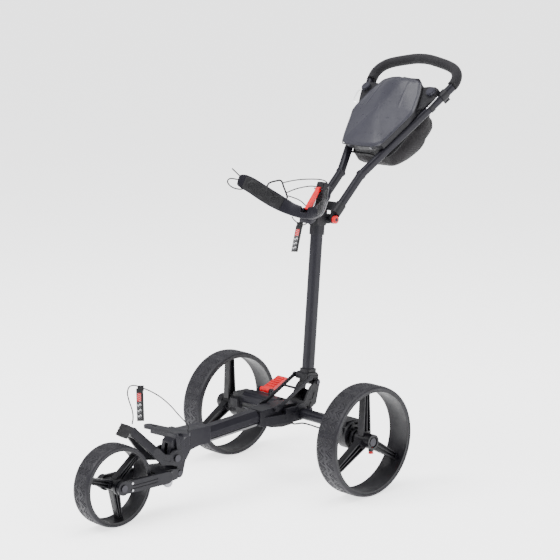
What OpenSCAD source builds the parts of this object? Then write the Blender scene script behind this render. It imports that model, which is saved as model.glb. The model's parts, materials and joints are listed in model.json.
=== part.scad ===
// Three-wheel golf push trolley, standing upright and ready to push.
// Origin: on the ground, at the centre of the trolley's length and width.
// -Y is the travel direction (single front wheel), +Z is up.

/* [Wheels] */
// Rear tyre outer diameter
rear_wheel_d = 295; // [270:1:310]
// Rear tyre width
rear_tyre_w = 67; // [60:1:72]
// Distance between the rear wheel centre planes
track = 523; // [515:1:540]
// Rear axle to front axle distance
wheelbase = 627; // [620:1:640]
// Front tyre outer diameter
front_wheel_d = 208; // [196:1:212]
// Front tyre width
front_tyre_w = 56; // [50:1:58]

/* [Frame] */
// Main tube width
main_tube_w = 44; // [40:1:46]
// Main tube height
main_tube_h = 41; // [38:1:42]
// Stem tube side to side
stem_w = 27; // [25:1:29]
// Stem tube front to back
stem_d = 30; // [28:1:31]
// Backward lean of the stem in degrees
stem_lean = 4.8; // [4.6:0.1:5]

/* [Handle] */
// Angle of the handle above the horizontal
handle_angle = 44.1; // [43:0.1:45]
// Handle tube thickness seen from the side
handle_tube_h = 23; // [20:1:24]
// Handle tube thickness seen from the front
handle_tube_w = 18; // [16:1:19]
// Foam grip outer diameter
grip_d = 29; // [26:1:31]

/* [Detail] */
// Smoothness of round parts
fn_round = 64; // [48:8:96]

/* [Hidden] */

R = rear_wheel_d/2;
XT = track/2;
RF = front_wheel_d/2;
// centre of the length, so that the origin is at the middle of the footprint
ymid = 107.46;
// handle frame origin and handle pivot in that frame
hy = 129.8; hz = 721.7;
hps = -34.1; hpn = -9.65;
// stem frame origin on the stem axis
sy = 49; sz = 248;
// stem fold pivot
py = 62; pz = 248;
// both pivots seen in the stem frame
psy = (py-sy)*cos(stem_lean)-(pz-sz)*sin(stem_lean); psz = (py-sy)*sin(stem_lean)+(pz-sz)*cos(stem_lean);
hY = hy+hps*cos(handle_angle)-hpn*sin(handle_angle); hZ = hz+hps*sin(handle_angle)+hpn*cos(handle_angle);
hsy = (hY-sy)*cos(stem_lean)-(hZ-sz)*sin(stem_lean); hsz = (hY-sy)*sin(stem_lean)+(hZ-sz)*cos(stem_lean);
// brace pivot
by = -97; bz = 203;
// front fork fold pivot
fy = -431; fz = 97;
// foot pivot
ty = -447; tz = 142;

module P() { translate([0,ymid,0]) children(); }
module H() { P() translate([0,hy,hz]) rotate([handle_angle,0,0]) children(); }
module S() { P() translate([0,sy,sz]) rotate([-stem_lean,0,0]) children(); }
// YZ profile extruded along X
module yz(x0,x1) { translate([x0,0,0]) rotate([90,0,90]) linear_extrude(x1-x0) children(); }
module cx(x0,x1,y,z,r,fn=fn_round) { translate([x0,y,z]) rotate([0,90,0]) cylinder(r=r,h=x1-x0,$fn=fn); }
module rr(w,h,r) {
  square([w-2*r,h],center=true); square([w,h-2*r],center=true);
  for (x=[-1,1],y=[-1,1]) translate([x*(w/2-r),y*(h/2-r)]) circle(r,$fn=32);
}
module bar(a,b,w) {
  d = b-a; L = norm(d);
  translate(a) rotate(atan2(d[1],d[0])) translate([0,-w/2]) square([L,w]);
  translate(a) circle(w/2+0.2,$fn=32); translate(b) circle(w/2+0.2,$fn=32);
}
// box from lowest to highest corner
module bx(a,b) { translate(a) cube(b-a); }

function unit(v) = v/norm(v);
function tang(p) = [for(i=[0:len(p)-1]) unit(p[min(i+1,len(p)-1)]-p[max(i-1,0)])];
function rmf(t,i,u) = i>=len(t) ? [] : let(w=unit(u-t[i]*(u*t[i]))) concat([w],rmf(t,i+1,w));
function crp(a,b,c,d,t) = 0.5*(2*b+(c-a)*t+(2*a-5*b+4*c-d)*t*t+(3*b-a-3*c+d)*t*t*t);
function cr(p,m) = concat([for(i=[0:len(p)-2]) for(k=[0:m-1])
   crp(i==0?2*p[0]-p[1]:p[i-1],p[i],p[i+1],i+2>len(p)-1?2*p[i+1]-p[i]:p[i+2],k/m)],[p[len(p)-1]]);
// round or oval bar along points; ru and rv are the two radii
module sweep(p,ru,rv,n=8,seed=[0,0,1]) {
  t=tang(p); u=rmf(t,0,seed); m=len(p);
  pts=[for(i=[0:m-1]) for(k=[0:n-1]) p[i]+ru*cos(360*k/n)*u[i]+rv*sin(360*k/n)*cross(t[i],u[i])];
  f=concat([for(i=[0:m-2]) for(k=[0:n-1]) let(a=i*n+k,b=i*n+(k+1)%n) each [[a,b+n,b],[a,a+n,b+n]]],
    [[for(k=[0:n-1]) k]],[[for(k=[n-1:-1:0]) (m-1)*n+k]]);
  polyhedron(pts,f,convexity=6);
}

/* wheels */
module tyre(r,w,t) {
  rotate([0,90,0]) rotate_extrude($fn=128)
    polygon([[r-t,-w/2+1],[r-t+1.5,-w/2],[r-4,-w/2],[r-1.6,-w/2+3],[r,-w/2+13],[r,w/2-13],[r-1.6,w/2-3],[r-4,w/2],[r-t+1.5,w/2],[r-t,w/2-1]]);
}
// moulded wheel centred on X=0 with the outer side at +X
module rim(r,w,t,hub_r,bore_r,x0,x1,a0,sw0,sw1,sd) {
  difference() {
    union() {
      rotate([0,90,0]) rotate_extrude($fn=128)
        polygon([[r-t,-w/2+1],[r-t,w/2-1],[r-t-5,w/2-1],[r-t-5,w/2-4],[r-t-3,w/2-9],[r-t-3,-w/2+9],[r-t-5,-w/2+4],[r-t-5,-w/2+1]]);
      for (k=[0:2]) rotate([a0+120*k,0,0]) difference() {
        yz(-sd/2,sd/2) polygon([[hub_r-4,-sw0/2],[r-t-2,-sw1/2],[r-t-2,sw1/2],[hub_r-4,sw0/2]]);
        yz(1.5,sd) polygon([[hub_r+7,-sw0/2+4.5],[r-t-9,-sw1/2+3],[r-t-9,-1.2],[hub_r+7,-1.6]]);
        yz(1.5,sd) polygon([[hub_r+7,sw0/2-4.5],[r-t-9,sw1/2-3],[r-t-9,1.2],[hub_r+7,1.6]]);
        yz(-sd,-1.5) polygon([[hub_r+7,-sw0/2+4.5],[r-t-9,-sw1/2+3],[r-t-9,sw1/2-3],[hub_r+7,sw0/2-4.5]]);
      }
      cx(x0,x1,0,0,hub_r);
    }
    cx(x0-1,x1+1,0,0,bore_r);
  }
}
module wheel_rear_side(s) {
  translate([s*XT,0,R]) mirror([s<0?1:0,0,0]) difference() {
    union() {
      rim(R,rear_tyre_w,10,18,8.05,-32,28,90,29,17,20);
      cx(14,33,0,0,20); cx(-32,-24,0,0,24);
      translate([24,0,-25]) cylinder(r=7,h=12,$fn=32);
    }
    cx(-33,34,0,0,8.05);
    cx(29,34,0,0,15);
    for (k=[0:11]) rotate([30*k,0,0]) translate([-28.5,0,19.5]) cube([8,5,5],center=true);
    translate([24,0,-26]) cylinder(r=5.1,h=15.5,$fn=32);
  }
}
module release_button(s) {
  translate([s*(XT+24),0,R-32]) { cylinder(r=5,h=18,$fn=32); cylinder(r=6.6,h=4,$fn=32); }
}

/* rear frame */
module housing(s) {
  translate([s*0,0,0]) mirror([s<0?1:0,0,0]) difference() {
    union() {
      cx(196,226.5,0,152,37);
      bx([180,-26,150],[218,24,191]);
      bx([190,-37,152],[218,-20,176]);
    }
    cx(214,230,0,R,27);
    cx(190,230,0,R,8);
    // brake pin guide
    cx(186,230,0,R+19.5,2.25,24);
    // lattice pockets
    for (a=[150,190,230,270,310,350,30]) translate([0,0,152]) rotate([a,0,0]) translate([221,0,32]) cube([14,14,5],center=true);
    for (a=[200,235,270,305,340]) translate([0,0,152]) rotate([a,0,0]) translate([200,0,30]) cube([9,11,9],center=true);
  }
}
module arm(s) {
  mirror([s<0?1:0,0,0]) difference() {
    union() {
      translate([44,-8,176]) rotate([90,0,90]) linear_extrude(136) rr(32,27,11);
      translate([150,-4,174]) rotate([90,0,90]) linear_extrude(30) rr(40,31,11);
    }
    translate([43,-8,176]) rotate([90,0,90]) linear_extrude(138) rr(26,21,8);
  }
}
module arm_wide() {
  mirror([1,0,0]) difference() {
    union() {
      translate([44,-4,181]) rotate([90,0,90]) linear_extrude(136) rr(44,34,11);
      // pedal ears
      for (x=[108,154]) yz(x,x+6) difference() { union() { bar([14,190],[20,202],16); } translate([20,203]) circle(3.05,$fn=32); }
    }
    translate([43,-4,181]) rotate([90,0,90]) linear_extrude(138) rr(38,28,8);
  }
}

module main_tube() { color("#2b2b30") P() {
  a=-3.55;
  translate([0,-150,184.6]) rotate([a*-1,0,0]) rotate([90,0,0]) difference() {
    w=main_tube_w; h=main_tube_h;
    linear_extrude(262) polygon([[-w/2,-7],[-w/2+2.5,-8.5],[-w/2+2.5,-11],[-w/2+1,-12],[-w/2+9,-h/2],[w/2-9,-h/2],[w/2-1,-12],[w/2-2.5,-11],[w/2-2.5,-8.5],[w/2,-7],[w/2,8],[w/2-11,h/2],[-w/2+11,h/2],[-w/2,8]]);
    translate([0,0,-1]) linear_extrude(264) polygon([[-w/2+5,-8],[-w/2+12,-h/2+3],[w/2-12,-h/2+3],[w/2-5,-8],[w/2-3,7],[w/2-12,h/2-3],[-w/2+12,h/2-3],[-w/2+3,7]]);
  }
} }
module rear_casting() { color("#26262b") P() difference() {
  union() {
    // sleeve over the main tube end
    yz(-25,25) polygon([[-150,163],[-150,205.5],[-60,207],[-8,203],[20,196],[36,186],[36,165],[20,155],[-60,157],[-120,159]]);
    // swept shoulders
    translate([0,0,160]) linear_extrude(25) polygon([[-25,-140],[-30,-112],[-44,-52],[-44,26],[-25,34],[25,34],[44,26],[44,-52],[30,-112],[25,-140]]);
    // shoulder barrels to the axle arms
    for (s=[-1,1]) mirror([s<0?1:0,0,0]) translate([34,-14,188]) rotate([90,0,90]) linear_extrude(10) circle(19,$fn=8);
    for (s=[-1,1]) mirror([s<0?1:0,0,0]) translate([33.5,-70,170]) cube([8,70,30]);
  }
  // stem support pocket
  bx([-27.5,-6,176],[27.5,60,230]);
  // brace pin bore
  cx(-40,40,by,bz,4);
  // support pin bore
  cx(-50,50,22,183,4);
  // underside lightening pockets
  for (y=[-128,-98,-30]) bx([-17,y,150],[17,y+24,166]);
  // arm sockets
  for (x=[43.9,-54.1]) bx([x,-60,150],[x+10.2,40,230]);
  // cord groove at the tube seam
  bx([-26,-151,203.5],[26,-148,208]);
} }
module axle_arm_l() { color("#2b2b30") P() arm(1); }
module axle_arm_r() { color("#2b2b30") P() arm_wide(); }
module brake_housing_l() { color("#232327") P() housing(1); }
module brake_housing_r() { color("#232327") P() housing(-1); }
module axle_pins() { color("silver") P() for (s=[-1,1]) mirror([s<0?1:0,0,0]) { cx(192,290.7,0,R,8); cx(290.7,293.6,0,R,11); } }
sup = [[-4,178],[34,178],[56,190],[70,244],[68,254],[56,254],[34,238]];
module stem_support() { color("#232327") P() difference() {
  union() {
    for (x=[22.2,-27.4]) { yz(x,x+5.2) polygon(sup); cx(x,x+5.2,py,pz,9); }
    // cross webs
    yz(-22.3,22.3) polygon([[52,186],[57,190],[64,220],[59,222]]);
    yz(-22.3,22.3) polygon([[-4,178],[-2,186],[36,184],[34,178]]);
    yz(-22.3,22.3) polygon([[2,184],[-1,188],[14,203],[17,199]]);
  }
  cx(-30,30,py,pz,4);
  cx(-30,30,22,183,4);
  // ribbed faces
  for (x=[26.2,-28.2]) yz(x,x+2) { polygon([[8,186],[30,186],[38,198],[20,198]]); polygon([[26,204],[42,204],[50,224],[38,224]]); }
} }
module chassis_pins() { color("silver") P() {
  // rear support pin and stem fold pin
  cx(-42,42,22,183,4); cx(-27.5,27.5,py,pz,4);
  for (x=[27.6,-30.6]) cx(x,x+3,py,pz,7,6);
  // brace pin
  cx(-33.2,33.2,by,bz,4); for (x=[33.2,-36.2]) cx(x,x+3,by,bz,6.5);
  // front fork fold pin
  cx(-27,27,fy,fz,4); cx(24.2,27.5,fy,fz,7); cx(-27.5,-24.2,fy,fz,7);
  // bag base pin
  cx(-38,38,ty,tz,4); cx(34.4,38,ty,tz,9); cx(-38,-34.4,ty,tz,9);
  // pedal pin
  cx(-162,-106,20,203,3);
} }
module brake_cable_box() { color("#1e1e22") P() {
  yz(-15,15) polygon([[-112,158.4],[-60,156.4],[-22,155.2],[-16,150],[-24,144],[-60,143],[-104,150]]);
} }
cable_path = [[15.1,-28,150],[30,-31,149],[48,-34,154],[70,-36,160],[95,-36,161],[125,-34,159],[155,-31,158],[179.9,-28,160]];
module brake_cables() { color("#141416") P() for (m=[0,1]) mirror([m,0,0]) sweep(cr(cable_path,3),2.2,2.2,8); }

/* front frame */
module front_casting() { color("#2b2b30") P() difference() {
  union() {
    yz(-24,24) polygon([[-325,155],[-325,201],[-395,202],[-430,204],[-441,200],[-441,186],[-437,150],[-428,128],[-408,128],[-392,150],[-360,156]]);
    // bag base platform with rounded wings
    translate([0,0,196]) linear_extrude(8) { bar([-84,-441],[34,-420],26); translate([-34,-440]) square([64,34]); }
    translate([0,0,186]) linear_extrude(12) polygon([[-70,-448],[-70,-428],[-24,-405],[24,-405],[34,-424],[20,-438]]);
    // serrated support blocks for the base arms
    for (s=[-1,1]) cx(s>0?18:-26,s>0?26:-18,ty,tz,12);
    yz(-18,18) polygon([[-440,190],[-452,180],[-458,142],[-447,131],[-420,131],[-420,190]]);
  }
  // main tube socket
  translate([0,-150,184.6]) rotate([3.55,0,0]) rotate([90,0,0]) translate([0,0,150]) linear_extrude(113)
     polygon([[-22.1,-7],[-21.1,-12.1],[-13,-20.6],[13,-20.6],[21.1,-12.1],[22.1,-7],[22.1,8],[11,20.6],[-11,20.6],[-22.1,8]]);
  cx(-40,40,ty,tz,4.05);
  // oval cord eyelet
  translate([0,0,180]) linear_extrude(30) bar([-70,-438],[-62,-437],6);
  // panel grooves
  for (x=[-24.5,23.5]) for (y=[-428,-412,-396]) bx([x,y,160],[x+1,y+3,196]);
  bx([-6,-459,134],[6,-446,176]);
} }
// pair of lugs that carry the folding fork
module front_lugs() { color("#26262b") P() difference() {
  union() {
    for (x=[-24,15]) yz(x,x+9) { bar([fy,fz],[-421,132],24); }
    yz(-15.5,15.5) polygon([[-411,118],[-430,128],[-428,128],[-408,128],[-404,124]]);
    yz(-15.5,15.5) polygon([[-417,104],[-411,126],[-405,124],[-412,102]]);
  }
  cx(-40,40,fy,fz,4);
  bx([-25,-440,127.9],[25,-390,150]);
} }

/* brake */
module brake_pedal() { color("red") P() mirror([1,0,0]) difference() {
  union() {
    yz(116,152) polygon([[13,199],[20,195.6],[30,198],[86,221],[88,228],[84,230.5],[28,209],[16,209]]);
    cx(116,152,20,203,7.4);
    for (i=[0:4]) translate([134,38+9*i,213.4+3.455*i]) rotate([21,0,0]) cube([30,4,3],center=true);
  }
  cx(100,170,20,203,3.05);
  yz(121,147) polygon([[38,196],[78,212],[78,221.5],[40,206]]);
} }
// sliding pins that enter the notches of each wheel flange
module brake_pin_l() { color("silver") P() cx(188,221,0,R+19.5,2.2,24); }
module brake_pin_r() { color("silver") P() cx(-221,-188,0,R+19.5,2.2,24); }

/* brace */
module brace_bars() { color("#232327") P() {
  for (x=[-33,28]) yz(x,x+5) difference() {
    union() { bar([by,bz],[by+14,bz+4],14); bar([by+14,bz+4],[31,266],8.5); translate([31,266]) circle(7,$fn=32); }
    translate([by,bz]) circle(4.05,$fn=32);
  }
  // spreader between the bars
  cx(-28.5,28.5,-14,243.5,3.2,24);
} }

/* stem */
module stem_foot() { color("#232327") S() difference() {
  union() {
    translate([0,0,2]) linear_extrude(34) rr(34,38,8);
    yz(-21.7,21.7) polygon([[-24,8],[-24,24],[-16,27],[14,27],[20,20],[20,8]]);
    yz(-12.7,12.7) polygon([[-20,8],[8,-9],[20,-9],[24,4],[20,12]]);
  }
  translate([0,0,16]) linear_extrude(40) rr(stem_w,stem_d,8);
  cx(-30,30,psy,psz,4.05);
  for (x=[-22,12.7]) cx(x,x+9.3,psy,psz,9.8);
  for (x=[-22,20.2]) for (z=[11,17]) bx([x,-21,z],[x+1.8,16,z+3]);
} }
module stem_tube() { color("#2b2b30") S() translate([0,0,16]) difference() {
  linear_extrude(428) rr(stem_w,stem_d,8);
  translate([0,0,-1]) linear_extrude(430) rr(stem_w-5,stem_d-5,6);
} }
module stem_collar() { color("#2b2b30") S() difference() {
  translate([0,0,403]) linear_extrude(26) rr(stem_w+6,stem_d+6,10);
  translate([0,0,402]) linear_extrude(28) rr(stem_w,stem_d,8);
} }
module stem_head() { color("#232327") S() difference() {
  union() {
    translate([0,0,429]) linear_extrude(14) rr(38,40,9);
    yz(-19,19) polygon([[-19,433],[-19,475],[-14,482],[2,490],[14,484],[16,466],[16,433]]);
    // rear ears that carry the handle pivot
    for (x=[-19,11]) yz(x,x+8) difference() { bar([8,447],[hsy,hsz],26); }
    // upright latch post
    yz(-11,11) polygon([[-10,478],[-4,512],[2,540],[8,545],[16,544],[19,538],[15,500],[15,470],[0,470]]);
    yz(-15,-10) polygon([[-6,470],[-2,520],[6,544],[15,544],[17,530],[14,470]]);
    yz(10,15) polygon([[-6,470],[-2,520],[6,544],[15,544],[17,530],[14,470]]);
  }
  translate([0,0,428]) linear_extrude(16) rr(stem_w,stem_d,8);
  cx(-40,40,hsy,hsz,5);
  cx(-20,20,-4,526,2);
  // lever pocket in the post
  yz(-8,8) polygon([[-30,484],[-14,484],[2,534],[-6,544],[-30,530]]);
  cx(-8,8,-4,526,5.6,32);
  // ratchet notches
  for (z=[488,496,504,512]) bx([-20,-12,z],[20,-3.5+ (z-488)*0.13,z+3]);
  // cable guide groove
  yz(-3,3) polygon([[17,470],[17,530],[22,540],[22,470]]);
} }
module head_pins() { color("silver") S() { cx(-37.9,37.9,hsy,hsz,5); cx(-15,15,-4,526,2,24); } }
band = [[-176,-41,792],[-162,-32,787],[-145,-20,777],[-122,-3,759],[-98,12,743],[-72,25,729],[-48,34,719],[-24,38,714],[0,39,712]];
band_all = concat(band,[for(i=[len(band)-2:-1:0]) [-band[i][0],band[i][1],band[i][2]]]);
module ribbon(p,h,t,off) {
  tg=tang(p); m=len(p);
  nn=[for(i=[0:m-1]) unit(cross(tg[i],[0,0.25,1]))];
  uu=[for(i=[0:m-1]) unit(cross(nn[i],tg[i]))];
  pts=[for(i=[0:m-1]) each [p[i]+nn[i]*off-uu[i]*h[i]/2,p[i]+nn[i]*(off+t)-uu[i]*h[i]/2,p[i]+nn[i]*(off+t)+uu[i]*h[i]/2,p[i]+nn[i]*off+uu[i]*h[i]/2]];
  f=concat([for(i=[0:m-2]) for(k=[0:3]) let(a=i*4+k,b=i*4+(k+1)%4) each [[a,b,b+4],[a,b+4,a+4]]],[[3,2,1,0]],[[(m-1)*4,(m-1)*4+1,(m-1)*4+2,(m-1)*4+3]]);
  polyhedron(pts,f,convexity=6);
}
module cradle_band() { color("#2b2b30") P() {
  h=[30,40,42,43,43,40,35,33,32,33,35,40,43,43,42,40,30];
  difference() {
    union() {
      ribbon(band_all,h,7,0);
      // boss onto the stem head
      yz(-20,20) polygon([[36,685],[44,683],[60,690],[66,716],[62,724],[40,724]]);
    }
    S() translate([0,0,0]) yz(-25,25) polygon([[-19,430],[-19,475],[-14,482],[2,490],[40,490],[40,430]]);
    S() yz(-25,25) polygon([[-20.1,400],[-20.1,443.1],[40,443.1],[40,400]]);
    // room for the latch lever
    bx([-9,25,713.5],[9,70,745]);
  }
} }
module cradle_pads() { color("#141416") P() {
  for (s=[0,1]) mirror([s,0,0]) ribbon([for(i=[1:5]) band[i]],[33,35,36,36,33],5,7);
} }
hook_a = [[-60,31,746],[-60,28,757],[-68,25,777],[-72,19,794],[-78,3,794],[-86,-12,789],[-91,-15,776],[-92,2,762],[-92,12,754]];
hook_b = [[-156,-30,772],[-162,-46,768],[-172,-68,775],[-180,-77,789],[-178,-69,798],[-172,-44,793]];
hook_c = [[-168,-36,798],[-171,-44,806],[-176,-64,825]];
module strap_hooks() { color("#141416") P() { sweep(hook_a,2.4,2.4,8,[1,0,0]); sweep(cr(hook_b,2),1.8,1.8,8,[1,0,0]); sweep(hook_c,1.8,1.8,8,[1,0,0]); } }
// elastic cord from the hook round the top of the post and back
strap_a = [[-70,22,788],[-56,37,793],[-38,57,797],[-18,80,798],[-4,96,797],[4,106,794],[6,115,788],[2,118,779],[-8,116,774],[-17,106,774],[-19,92,777],[-20,78,779],[-30,61,777],[-45,42,771],[-60,28,762]];
strap_t = [[-58,29,754],[-46,40,749],[-34,53,741],[-26,66,727],[-22,76,712],[-22,80,695],[-22,72,682],[-22,56,676],[-26,42,680],[-34,32,690],[-42,30,699]];
module strap_upper() { color("#141416") P() sweep(cr(strap_a,3),1.6,1.6,8); }
module strap_tail() { color("#141416") P() sweep(cr(strap_t,3),1.6,1.6,8); }
module tag_upper() { color("#c01820") P() hull() {
  translate([-23,40,676]) rotate([0,0,35]) cube([18,2,1],center=true);
  translate([-32,30,604]) rotate([0,0,35]) cube([18,2,1],center=true);
} }
module latch_lever() { color("red") S() difference() {
  union() {
    yz(-6.5,6.5) polygon([[-7,529],[-3,530],[-1,524],[-6,518],[-34,474],[-42,470],[-46,474],[-40,484]]);
    cx(-6.5,6.5,-4,526,5,32);
  }
  cx(-10,10,-4,526,2.05,24);
} }
module latch_bail() { color("#808088") S() sweep(cr([[0,-38,473],[0,-30,469],[0,-23,474],[0,-17,484],[0,-13,496],[0,-12,504]],4),1.7,1.7,8,[1,0,0]); }

/* handle */
module yoke_half() {
  yz(27.4,37) bar([hps,hpn],[-13,-1.5],23.4);
  translate([38,-22,0]) rotate([-90,0,0]) linear_extrude(34) rr(handle_tube_w+5,handle_tube_h+5,9);
}
module handle_yoke() { color("#232327") H() difference() {
  union() {
    yoke_half(); mirror([1,0,0]) yoke_half();
    // cross web between the arms
    yz(-30,30) polygon([[-18,6],[8,9],[8,13],[-18,12]]);
    yz(-30,30) polygon([[-4,-12],[8,-12],[8,8],[2,8]]);
  }
  cx(-60,60,hps,hpn,5.05);
  for (s=[-1,1]) translate([s*38,-10,0]) rotate([-90,0,0]) linear_extrude(30) rr(handle_tube_w,handle_tube_h,7);
} }
module pivot_caps() { color("red") H() for (s=[-1,1]) mirror([s<0?1:0,0,0]) difference() {
  union() { cx(38.05,44,hps,hpn,11); cx(44,46,hps,hpn,8); }
  cx(45,47,hps,hpn,2.5);
} }
// one bent side tube of the handle, left side
module side_tube() {
  ang = atan2(115,331.2);
  difference() {
    union() {
      translate([38,-10,0]) rotate([-90,0,0]) linear_extrude(126.8) rr(handle_tube_w,handle_tube_h,7);
      translate([38,116.8,-handle_tube_h/2+1]) cylinder(r=handle_tube_w/2,h=handle_tube_h-2,$fn=48);
      translate([38,116.8,0]) rotate([0,0,-ang]) rotate([-90,0,0]) linear_extrude(352) rr(handle_tube_w,handle_tube_h,7);
    }
    translate([38,-11,0]) rotate([-90,0,0]) linear_extrude(122) rr(handle_tube_w-4,handle_tube_h-4,5);
    translate([38,116.8,0]) rotate([0,0,-ang]) rotate([-90,0,0]) translate([0,0,6]) linear_extrude(347) rr(handle_tube_w-4,handle_tube_h-4,5);
  }
}
module handle_tube_l() { color("#2b2b30") H() side_tube(); }
module handle_tube_r() { color("#2b2b30") H() mirror([1,0,0]) side_tube(); }
// centre line of the grip, left half then mirrored
gp = [[150.5,448,0],[152.5,460,0],[152.5,474,2],[147,488,4],[137,499,6],[122,508,8],[100,515,10],[75,521,11],[50,526,12],[25,530,13],[0,531,13.5]];
gpath = concat(gp,[for(i=[len(gp)-2:-1:0]) [-gp[i][0],gp[i][1],gp[i][2]]]);
module grip_core() { color("#2b2b30") H() sweep(cr(concat([[150.4,445,0]],gpath,[[-150.4,445,0]]),2),7,7,12); }
module grip_foam() { color("#1a1a1d") H() difference() {
  sweep(cr(gpath,2),grip_d/2,grip_d/2,16);
  sweep(cr(concat([[150.4,445,0]],gpath,[[-150.4,445,0]]),2),7.05,7.05,12);
} }
function tx(s) = 38+(s-116.8)*0.3472;
module tube_clamps() { color("#202024") H() for (m=[0,1]) mirror([m,0,0]) translate([38,116.8,0]) rotate([0,0,-atan2(115,331.2)]) difference() {
  union() {
    translate([0,306,0]) rotate([-90,0,0]) linear_extrude(22) rr(handle_tube_w+7,handle_tube_h+3,9);
    translate([-3,308,-24]) cube([6,18,14.5]);
    translate([0,262,0]) rotate([-90,0,0]) linear_extrude(12) rr(handle_tube_w+5,handle_tube_h+3,9);
  }
  translate([0,250,0]) rotate([-90,0,0]) linear_extrude(90) rr(handle_tube_w,handle_tube_h,7);
  translate([-10,317,-20]) rotate([0,90,0]) cylinder(r=2,h=20,$fn=24);
} }
lid_o = [[0,190],[52,192],[74,202],[104,290],[112,326],[92,392],[70,432],[40,441],[0,444],[-40,441],[-70,432],[-92,392],[-112,326],[-104,290],[-74,202],[-52,192]];
module console_tray() { color("#202024") H() difference() {
  union() {
    translate([0,0,13]) linear_extrude(13.6) polygon([for(p=lid_o) [p[0]*0.985,316+(p[1]-316)*0.985]]);
    // side wings with knob seats
    for (m=[0,1]) mirror([m,0,0]) {
      translate([0,0,13]) linear_extrude(10) polygon([[84,372],[104,340],[118,352],[136,392],[136,418],[122,424],[100,424],[78,420]]);
      translate([121,403,22]) cylinder(r=16,h=2.7,$fn=48);
    }
    translate([0,0,13]) linear_extrude(10) polygon([[-60,428],[60,428],[46,450],[-46,450]]);
  }
  translate([0,0,16]) linear_extrude(20) polygon([for(p=lid_o) [p[0]*0.94,316+(p[1]-316)*0.94]]);
  for (m=[0,1]) mirror([m,0,0]) { cx(30,50,194,22,2,24); translate([35.4,185,16.5]) cube([9.2,15,12]); }
  for (m=[0,1]) mirror([m,0,0]) translate([121,403,10]) cylinder(r=4.05,h=20,$fn=32);
} }
module console_pouch() { color("#141416") H() union() {
  translate([0,0,-13]) linear_extrude(25.9) polygon([[-48,202],[48,202],[82,306],[82,398],[-82,398],[-82,306]]);
  hull() {
    translate([0,0,-12.9]) linear_extrude(0.3) polygon([[-74,200],[74,200],[94,300],[84,400],[-84,400],[-94,300]]);
    translate([0,0,-60]) linear_extrude(0.3) polygon([[-70,198],[70,198],[92,300],[84,398],[-84,398],[-92,300]]);
    translate([0,0,-102]) linear_extrude(0.3) polygon([[-50,262],[50,262],[80,310],[72,384],[-72,384],[-80,310]]);
  }
} }
module lid_pins() { color("silver") H() for (m=[0,1]) mirror([m,0,0]) cx(31,49,194,22,2,24); }
module clip_wires() { color("silver") H() for (m=[0,1]) mirror([m,0,0])
  sweep([[128,352,17],[136,350,20],[141,356,22],[147,382,22],[147,394,20],[136.5,398,17]],1.5,1.5,8,[0,0,1]); }
lidh = [6,6,6,7,8,10,12,9,8,9,12,10,8,7,6,6];
module console_lid() { color("#3a3b40") H() difference() {
  union() {
    hull() {
      translate([0,0,27.3]) linear_extrude(3) polygon(lid_o);
      translate([0,0,38]) linear_extrude(0.5) polygon([[-34,214],[34,214],[72,304],[66,330],[50,432],[-50,432],[-66,330],[-72,304]]);
      translate([0,0,54]) linear_extrude(0.5) polygon([[-10,330],[0,306],[10,330],[24,404],[18,428],[-18,428],[-24,404]]);
    }
    for (m=[0,1]) mirror([m,0,0]) yz(36,44) bar([194,22],[194,29],7);
  }
  translate([0,0,27]) hull() {
    translate([0,0,0]) linear_extrude(0.5) polygon([for(p=lid_o) [p[0]*0.955,316+(p[1]-316)*0.96]]);
    translate([0,0,8]) linear_extrude(0.5) polygon([[-32,222],[32,222],[66,304],[60,330],[42,416],[-42,416],[-60,330],[-66,304]]);
    translate([0,0,19]) linear_extrude(0.5) polygon([[-8,332],[0,306],[8,332],[18,398],[12,412],[-12,412],[-18,398]]);
  }
  cx(-60,60,194,22,2.05,24);
  // finger notch
  translate([0,446,36]) cube([22,12,30],center=true);
} }
module knob(s) { H() translate([s*121,403,24.9]) {
  difference() { union() { cylinder(r=14,h=6,$fn=64); translate([0,0,6]) cylinder(r=12,h=2,$fn=64); }
    for (k=[0:11]) rotate(30*k) translate([14.6,0,-1]) cylinder(r=1.6,h=12,$fn=16); }
  translate([0,0,-9]) cylinder(r=4,h=10,$fn=32);
} }
module console_knob_l() { color("#2b2b30") knob(1); }
module console_knob_r() { color("#2b2b30") knob(-1); }

/* fork and front wheel */
module fork() { color("#26262b") P() difference() {
  union() {
    // tracking wheel pin and its carrier
    yz(-8,8) polygon([[-471,93],[-453,93],[-455,70.5],[-469,70.5]]);
    // root block between the lugs
    yz(-14.7,14.7) { bar([fy,fz],[-455,102],26); }
    translate([0,0,0]) yz(-36,36) polygon([[-447,88],[-444,114],[-486,119],[-514,116],[-514,90],[-486,84]]);
    for (x=[-45,35]) yz(x,x+10) { bar([-486,101],[-wheelbase,RF],31); translate([-wheelbase,RF]) circle(18,$fn=48); }
    for (s=[-1,1]) mirror([s<0?1:0,0,0]) translate([0,0,88.4]) linear_extrude(25.3) polygon([[30,-452],[44.4,-478],[44.4,-502],[35.6,-502],[30,-480]]);
  }
  // wheel clearance
  cx(-34.5,34.5,-wheelbase,RF,RF+6);
  cx(-60,60,fy,fz,4.05);
  cx(-60,60,-wheelbase,RF,5);
  // tracking wheel slot and pin bore
  cx(8.6,19.4,-462,77,15);
  cx(-20,20,-462,77,3);
  for (x=[-46,43.5]) for (z=[97,105]) bx([x,-600,z],[x+2.5,-520,z+3]);
  // room for the lugs
  for (x=[-25,14.7]) yz(x,x+10.3) translate([fy,fz]) circle(20,$fn=48);
} }
module fork_bolts() { color("silver") P() { cx(-8,21.5,-462,77,3,32); for (s=[-1,1]) mirror([s<0?1:0,0,0]) for (z=[-9,9]) cx(45,47,-wheelbase+26,RF+z-1,3.2,6); } }
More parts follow.
